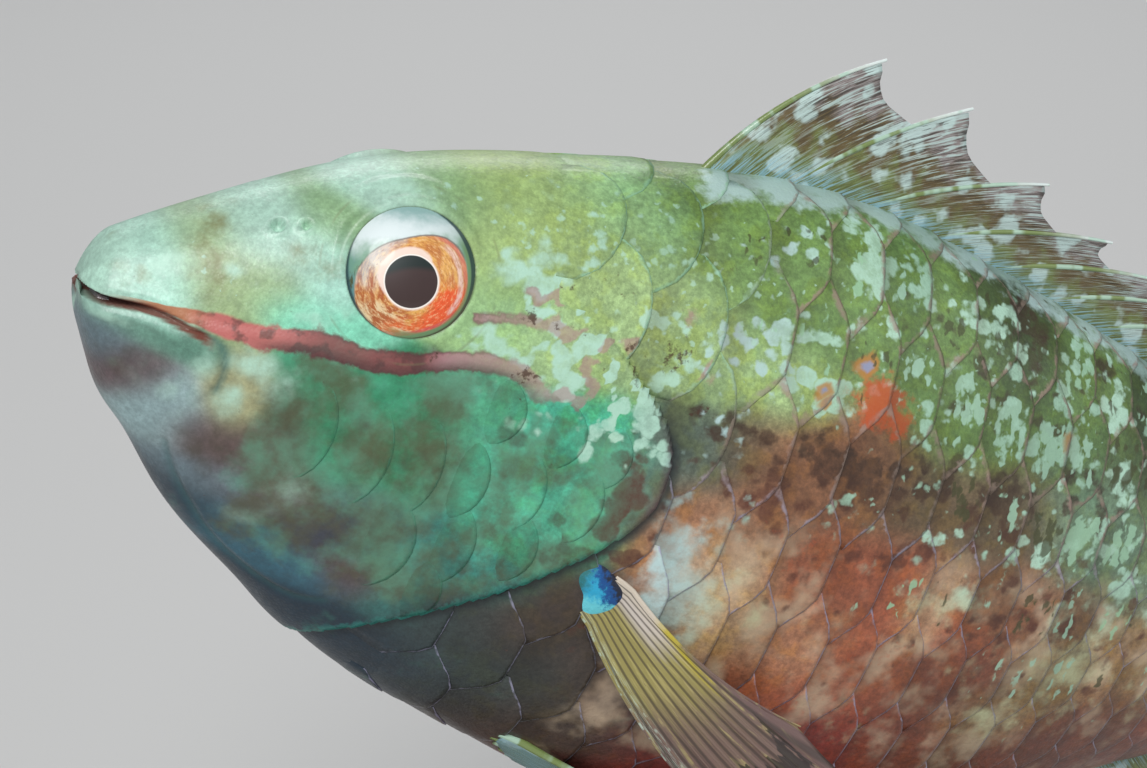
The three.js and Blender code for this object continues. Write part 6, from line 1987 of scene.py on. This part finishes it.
halo = maths(tree, "MULTIPLY_ADD", mixed(-0.4, 1.0, -0.1, 0.3), -0.24, pupil)
colour = blend(tree, both(rise(tree, halo, 1.14, 1.04), 0.9), colour, PUPIL_HALO)
colour = blend(tree, rise(tree, pupil, 1.07, 1.035), colour, PUPIL_RING)
dark_top = rise(tree, maths(tree, "MULTIPLY_ADD", pupil, 0.1, eye_v), 0.04, 0.16)
colour = blend(tree, rise(tree, pupil, 1.02, 0.99), colour, blend(tree, dark_top, PUPIL_LOW, PUPIL_TOP))
green_ring = both(rise(tree, whole, 0.78, 0.82), mixed(0.7, -0.7, 0.1, 0.4))
colour = blend(tree, both(green_ring, 0.8), colour, EYE_GREEN)
# Painted shade: a dark ring round the edge of the eyeball, where it sinks under the lid, wider on the rear
# and lower side.
rim_shade_start = maths(tree, "MULTIPLY_ADD", mixed(0.8, -0.4, -0.2, 0.6), -0.045, 0.885)
rim_shade_paint = blend(tree, mixed(0.2, -1, 0.3, 0.7), EYE_RIM_SHADE_TEAL, EYE_RIM_SHADE_BROWN)
colour = blend(tree, both(rise(tree, whole, rim_shade_start, maths(tree, "ADD", rim_shade_start, 0.03)), 0.9), colour,
               rim_shade_paint)
feed(tree, shader.inputs["Base Color"], colour)
shader.inputs["Coat Weight"].default_value = 0.3
shader.inputs["Coat Roughness"].default_value = 0.07
eyes = {}
for label, side in (("left", 1), ("right", -1)):
    eyes[label] = eye_piece(f"eyeball_{label}", side)
    eyes[label].data.materials.append(EYE_PAINT)
print("eyes:", [len(e.data.polygons) for e in eyes.values()])

# %% [markdown]
# ## Beak
# A parrotfish's teeth are fused into two plates, seen as a pale, finely notched edge between the
# lips. A curved band follows each lip from corner to corner, with the teeth's tips as a wave along
# its free edge.
# %% Beak plates
BEAK_MAUVE = tone(150, 138, 140)
BEAK_GREY = tone(110, 112, 112)


def beak_piece(name, upper):
    way = np.linspace(-1, 1, 161)
    x = 1.75 + 7.6 * np.abs(way) ** 1.7
    inset_mm = 2.5
    y = np.sign(way) * np.maximum(side_at(x, mouth_line(x)) - inset_mm, 0) * np.minimum(1, np.abs(way) * 6)
    base = mouth_line(x)
    tooth = 0.10 * np.abs(np.sin(way * 46)) * (1 - 0.6 * np.abs(way))
    edge = base + (0.30 - tooth if upper else -0.26 + tooth)
    root = base + (3.0 if upper else -3.0)
    levels = np.array([0, 0.06, 0.25, 0.6, 1.0])
    z = edge + (root - edge) * levels[:, None]
    inward = np.stack([np.ones_like(way) * 0.7, -np.sign(way) * 0.7, np.zeros_like(way)], -1)
    swell = (np.array([0.35, 0.12, 0.0, 0.0, 0.1]))[:, None, None] * inward
    front = np.stack([np.broadcast_to(x, z.shape), np.broadcast_to(y, z.shape), z], -1) + swell
    rear = front[[0, -1]] + inward * np.array([0.35, 1.2])[:, None, None]
    grid = np.concatenate([front, rear[::-1]])
    tall, wide = grid.shape[:2]
    faces = []
    for i in range(tall):
        for j in range(wide - 1):
            a = i * wide + j
            b = ((i + 1) % tall) * wide + j
            faces.append((a, a + 1, b + 1, b))
    faces.append(tuple(i * wide for i in range(tall)))
    faces.append(tuple(reversed([i * wide + wide - 1 for i in range(tall)])))
    piece = mesh_piece(name, placed(grid), faces, closed=True)
    write_values(piece.data, "straight", grid.reshape(-1, 3))
    return piece


BEAK_PAINT, tree, shader = new_material("beak", 0.3)
beak_place = named(tree, "straight", "Vector")
stripes = noise(tree, beak_place, 1.4, 4.0)
colour = blend(tree, rise(tree, stripes, 0.4, 0.65), BEAK_MAUVE, BEAK_GREY)
feed(tree, shader.inputs["Base Color"], colour)
shader.inputs["Coat Weight"].default_value = 0.4
bump(tree, shader, stripes, 0.3, 0.0003)
beak_plates = {}
for label in ("upper", "lower"):
    beak_plates[label] = beak_piece(f"beak_plate_{label}", label == "upper")
    beak_plates[label].data.materials.append(BEAK_PAINT)

# %% [markdown]
# ## Stand
# The stand is not part of the animal: a stained hardwood block with two steel rods. Its solids are
# already right, so they only get materials, with grain that runs along the block.
# %% Wood and steel
WOOD_BROWN = tone(92, 62, 42)
WOOD_DARK = tone(46, 28, 18)
STEEL_DARK = tone(176, 180, 184)
STEEL_PALE = tone(206, 208, 210)
WOOD, tree, shader = new_material("stained_wood", 0.42)
place = node(tree, "ShaderNodeTexCoord").outputs["Object"]
stretch = node(tree, "ShaderNodeMapping")
stretch.inputs["Scale"].default_value = (18, 160, 160)
feed(tree, stretch.inputs["Vector"], place)
fibres = noise(tree, stretch.outputs[0], 1.0, 6.0, 0.65, 0.6)
rings_map = node(tree, "ShaderNodeTexWave", wave_type="BANDS", bands_direction="Y")
for name, value in (("Vector", place), ("Scale", 46.0), ("Distortion", 5.0), ("Detail", 3.0),
                    ("Detail Scale", 1.2)):
    feed(tree, rings_map.inputs[name], value)
grain_mix = maths(tree, "MULTIPLY_ADD", rings_map.outputs["Fac"], 0.4, fibres)
colour = blend(tree, rise(tree, grain_mix, 0.45, 0.95), WOOD_BROWN, WOOD_DARK)
feed(tree, shader.inputs["Base Color"], colour)
feed(tree, shader.inputs["Roughness"], rise(tree, fibres, 0.3, 0.7, 0.5, 0.36))
bump(tree, shader, fibres, 0.15, 0.0004)

STEEL, tree, shader = new_material("brushed_steel", 0.3)
place = node(tree, "ShaderNodeTexCoord").outputs["Object"]
stretch = node(tree, "ShaderNodeMapping")
stretch.inputs["Scale"].default_value = (400, 400, 4000)
feed(tree, stretch.inputs["Vector"], place)
brushed = noise(tree, stretch.outputs[0], 1.0, 3.0)
shader.inputs["Metallic"].default_value = 1.0
feed(tree, shader.inputs["Base Color"], blend(tree, brushed, STEEL_DARK, STEEL_PALE))
feed(tree, shader.inputs["Roughness"], rise(tree, brushed, 0.3, 0.7, 0.24, 0.4))
bump(tree, shader, brushed, 0.08, 0.0002)
for node_name, material in (("stand_base", WOOD), ("stand_rod_front", STEEL), ("stand_rod_rear", STEEL)):
    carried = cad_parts[node_name]
    carried.data.materials.clear()
    carried.data.materials.append(material)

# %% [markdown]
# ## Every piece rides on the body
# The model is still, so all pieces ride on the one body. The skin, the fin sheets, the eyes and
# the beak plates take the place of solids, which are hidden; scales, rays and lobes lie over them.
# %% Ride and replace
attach(skin, "root")
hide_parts("head", "trunk", "tail")
for coat in body_coats:
    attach(coat, "root")
for fin_name, (sheet, rays) in fin_pieces.items():
    for piece in (sheet, rays):
        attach(piece, "root")
    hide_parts(fin_name)
for lobe in lobes:
    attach(lobe, "root")
for label, eye in eyes.items():
    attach(eye, "root")
    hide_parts(f"eye_{label}")
for label, plate in beak_plates.items():
    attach(plate, "root")
    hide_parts(f"beak_{label}")
for pattern in (body_guide, flank_pattern, nape_pattern, cheek_pattern):
    bpy.data.objects.remove(pattern)

# %% [markdown]
# ## Camera, light and floor
# The camera looks at the left side of the head from a little in front and above, close enough that
# the tail runs out of the frame. Large soft lamps and a pale floor keep the colours true.
# %% Camera
VIEW_SIDE = math.radians(-17.9)
VIEW_UP = math.radians(20.4)
VIEW_FAR = 0.315
SENSOR_WIDTH = 36
FOCAL_PIXELS = 2900
FRAME_PIXELS = 1147
AIM = OFFSET / 1000 + np.array([0.0534, 0, -0.0168])
towards = np.array([math.sin(VIEW_SIDE) * math.cos(VIEW_UP), -math.cos(VIEW_SIDE) * math.cos(VIEW_UP),
                    math.sin(VIEW_UP)])
camera_data = bpy.data.cameras.new("camera")
camera_data.lens = SENSOR_WIDTH * FOCAL_PIXELS / FRAME_PIXELS
camera_data.sensor_width = SENSOR_WIDTH
camera_data.clip_start = 0.01
camera = bpy.data.objects.new("camera", camera_data)
camera.location = Vector(AIM + towards * VIEW_FAR)
camera.rotation_euler = Vector(towards).to_track_quat("Z", "Y").to_euler()
bpy.context.scene.collection.objects.link(camera)
bpy.context.scene.camera = camera
print("camera at", [round(v, 4) for v in camera.location])

# %% Lights and floor
MIDDLE_OF_FISH = (0.0, 0.0, 0.09)


def soft_lamp(name, place, size, power):
    lamp = bpy.data.lights.new(name, "AREA")
    lamp.shape = "DISK"
    lamp.size = size
    lamp.energy = power
    holder = bpy.data.objects.new(name, lamp)
    holder.location = place
    holder.rotation_euler = (Vector(place) - Vector(MIDDLE_OF_FISH)).to_track_quat("Z", "Y").to_euler()
    bpy.context.scene.collection.objects.link(holder)


soft_lamp("key_light", (-0.5, -0.75, 0.9), 0.6, 11.5)
soft_lamp("fill_light", (0.75, -0.6, 0.45), 0.8, 2.0)
soft_lamp("rim_light", (0.2, 0.85, 0.75), 0.6, 3.5)
world = bpy.data.worlds.new("studio")
world.use_nodes = True
world.node_tree.nodes["Background"].inputs["Color"].default_value = (0.9, 0.93, 1.0, 1)
world.node_tree.nodes["Background"].inputs["Strength"].default_value = 0.26
bpy.context.scene.world = world
bpy.context.scene.view_settings.view_transform = "Standard"

floor = mesh_piece("studio_floor", np.array([[-2, -2, 0], [2, -2, 0], [2, 2, 0], [-2, 2, 0.0]]) * 1.5,
                   [(0, 1, 2, 3)], False)
FLOOR, tree, shader = new_material("pale_floor", 0.7)
shader.inputs["Base Color"].default_value = tone(206, 206, 204)
floor.data.materials.append(FLOOR)
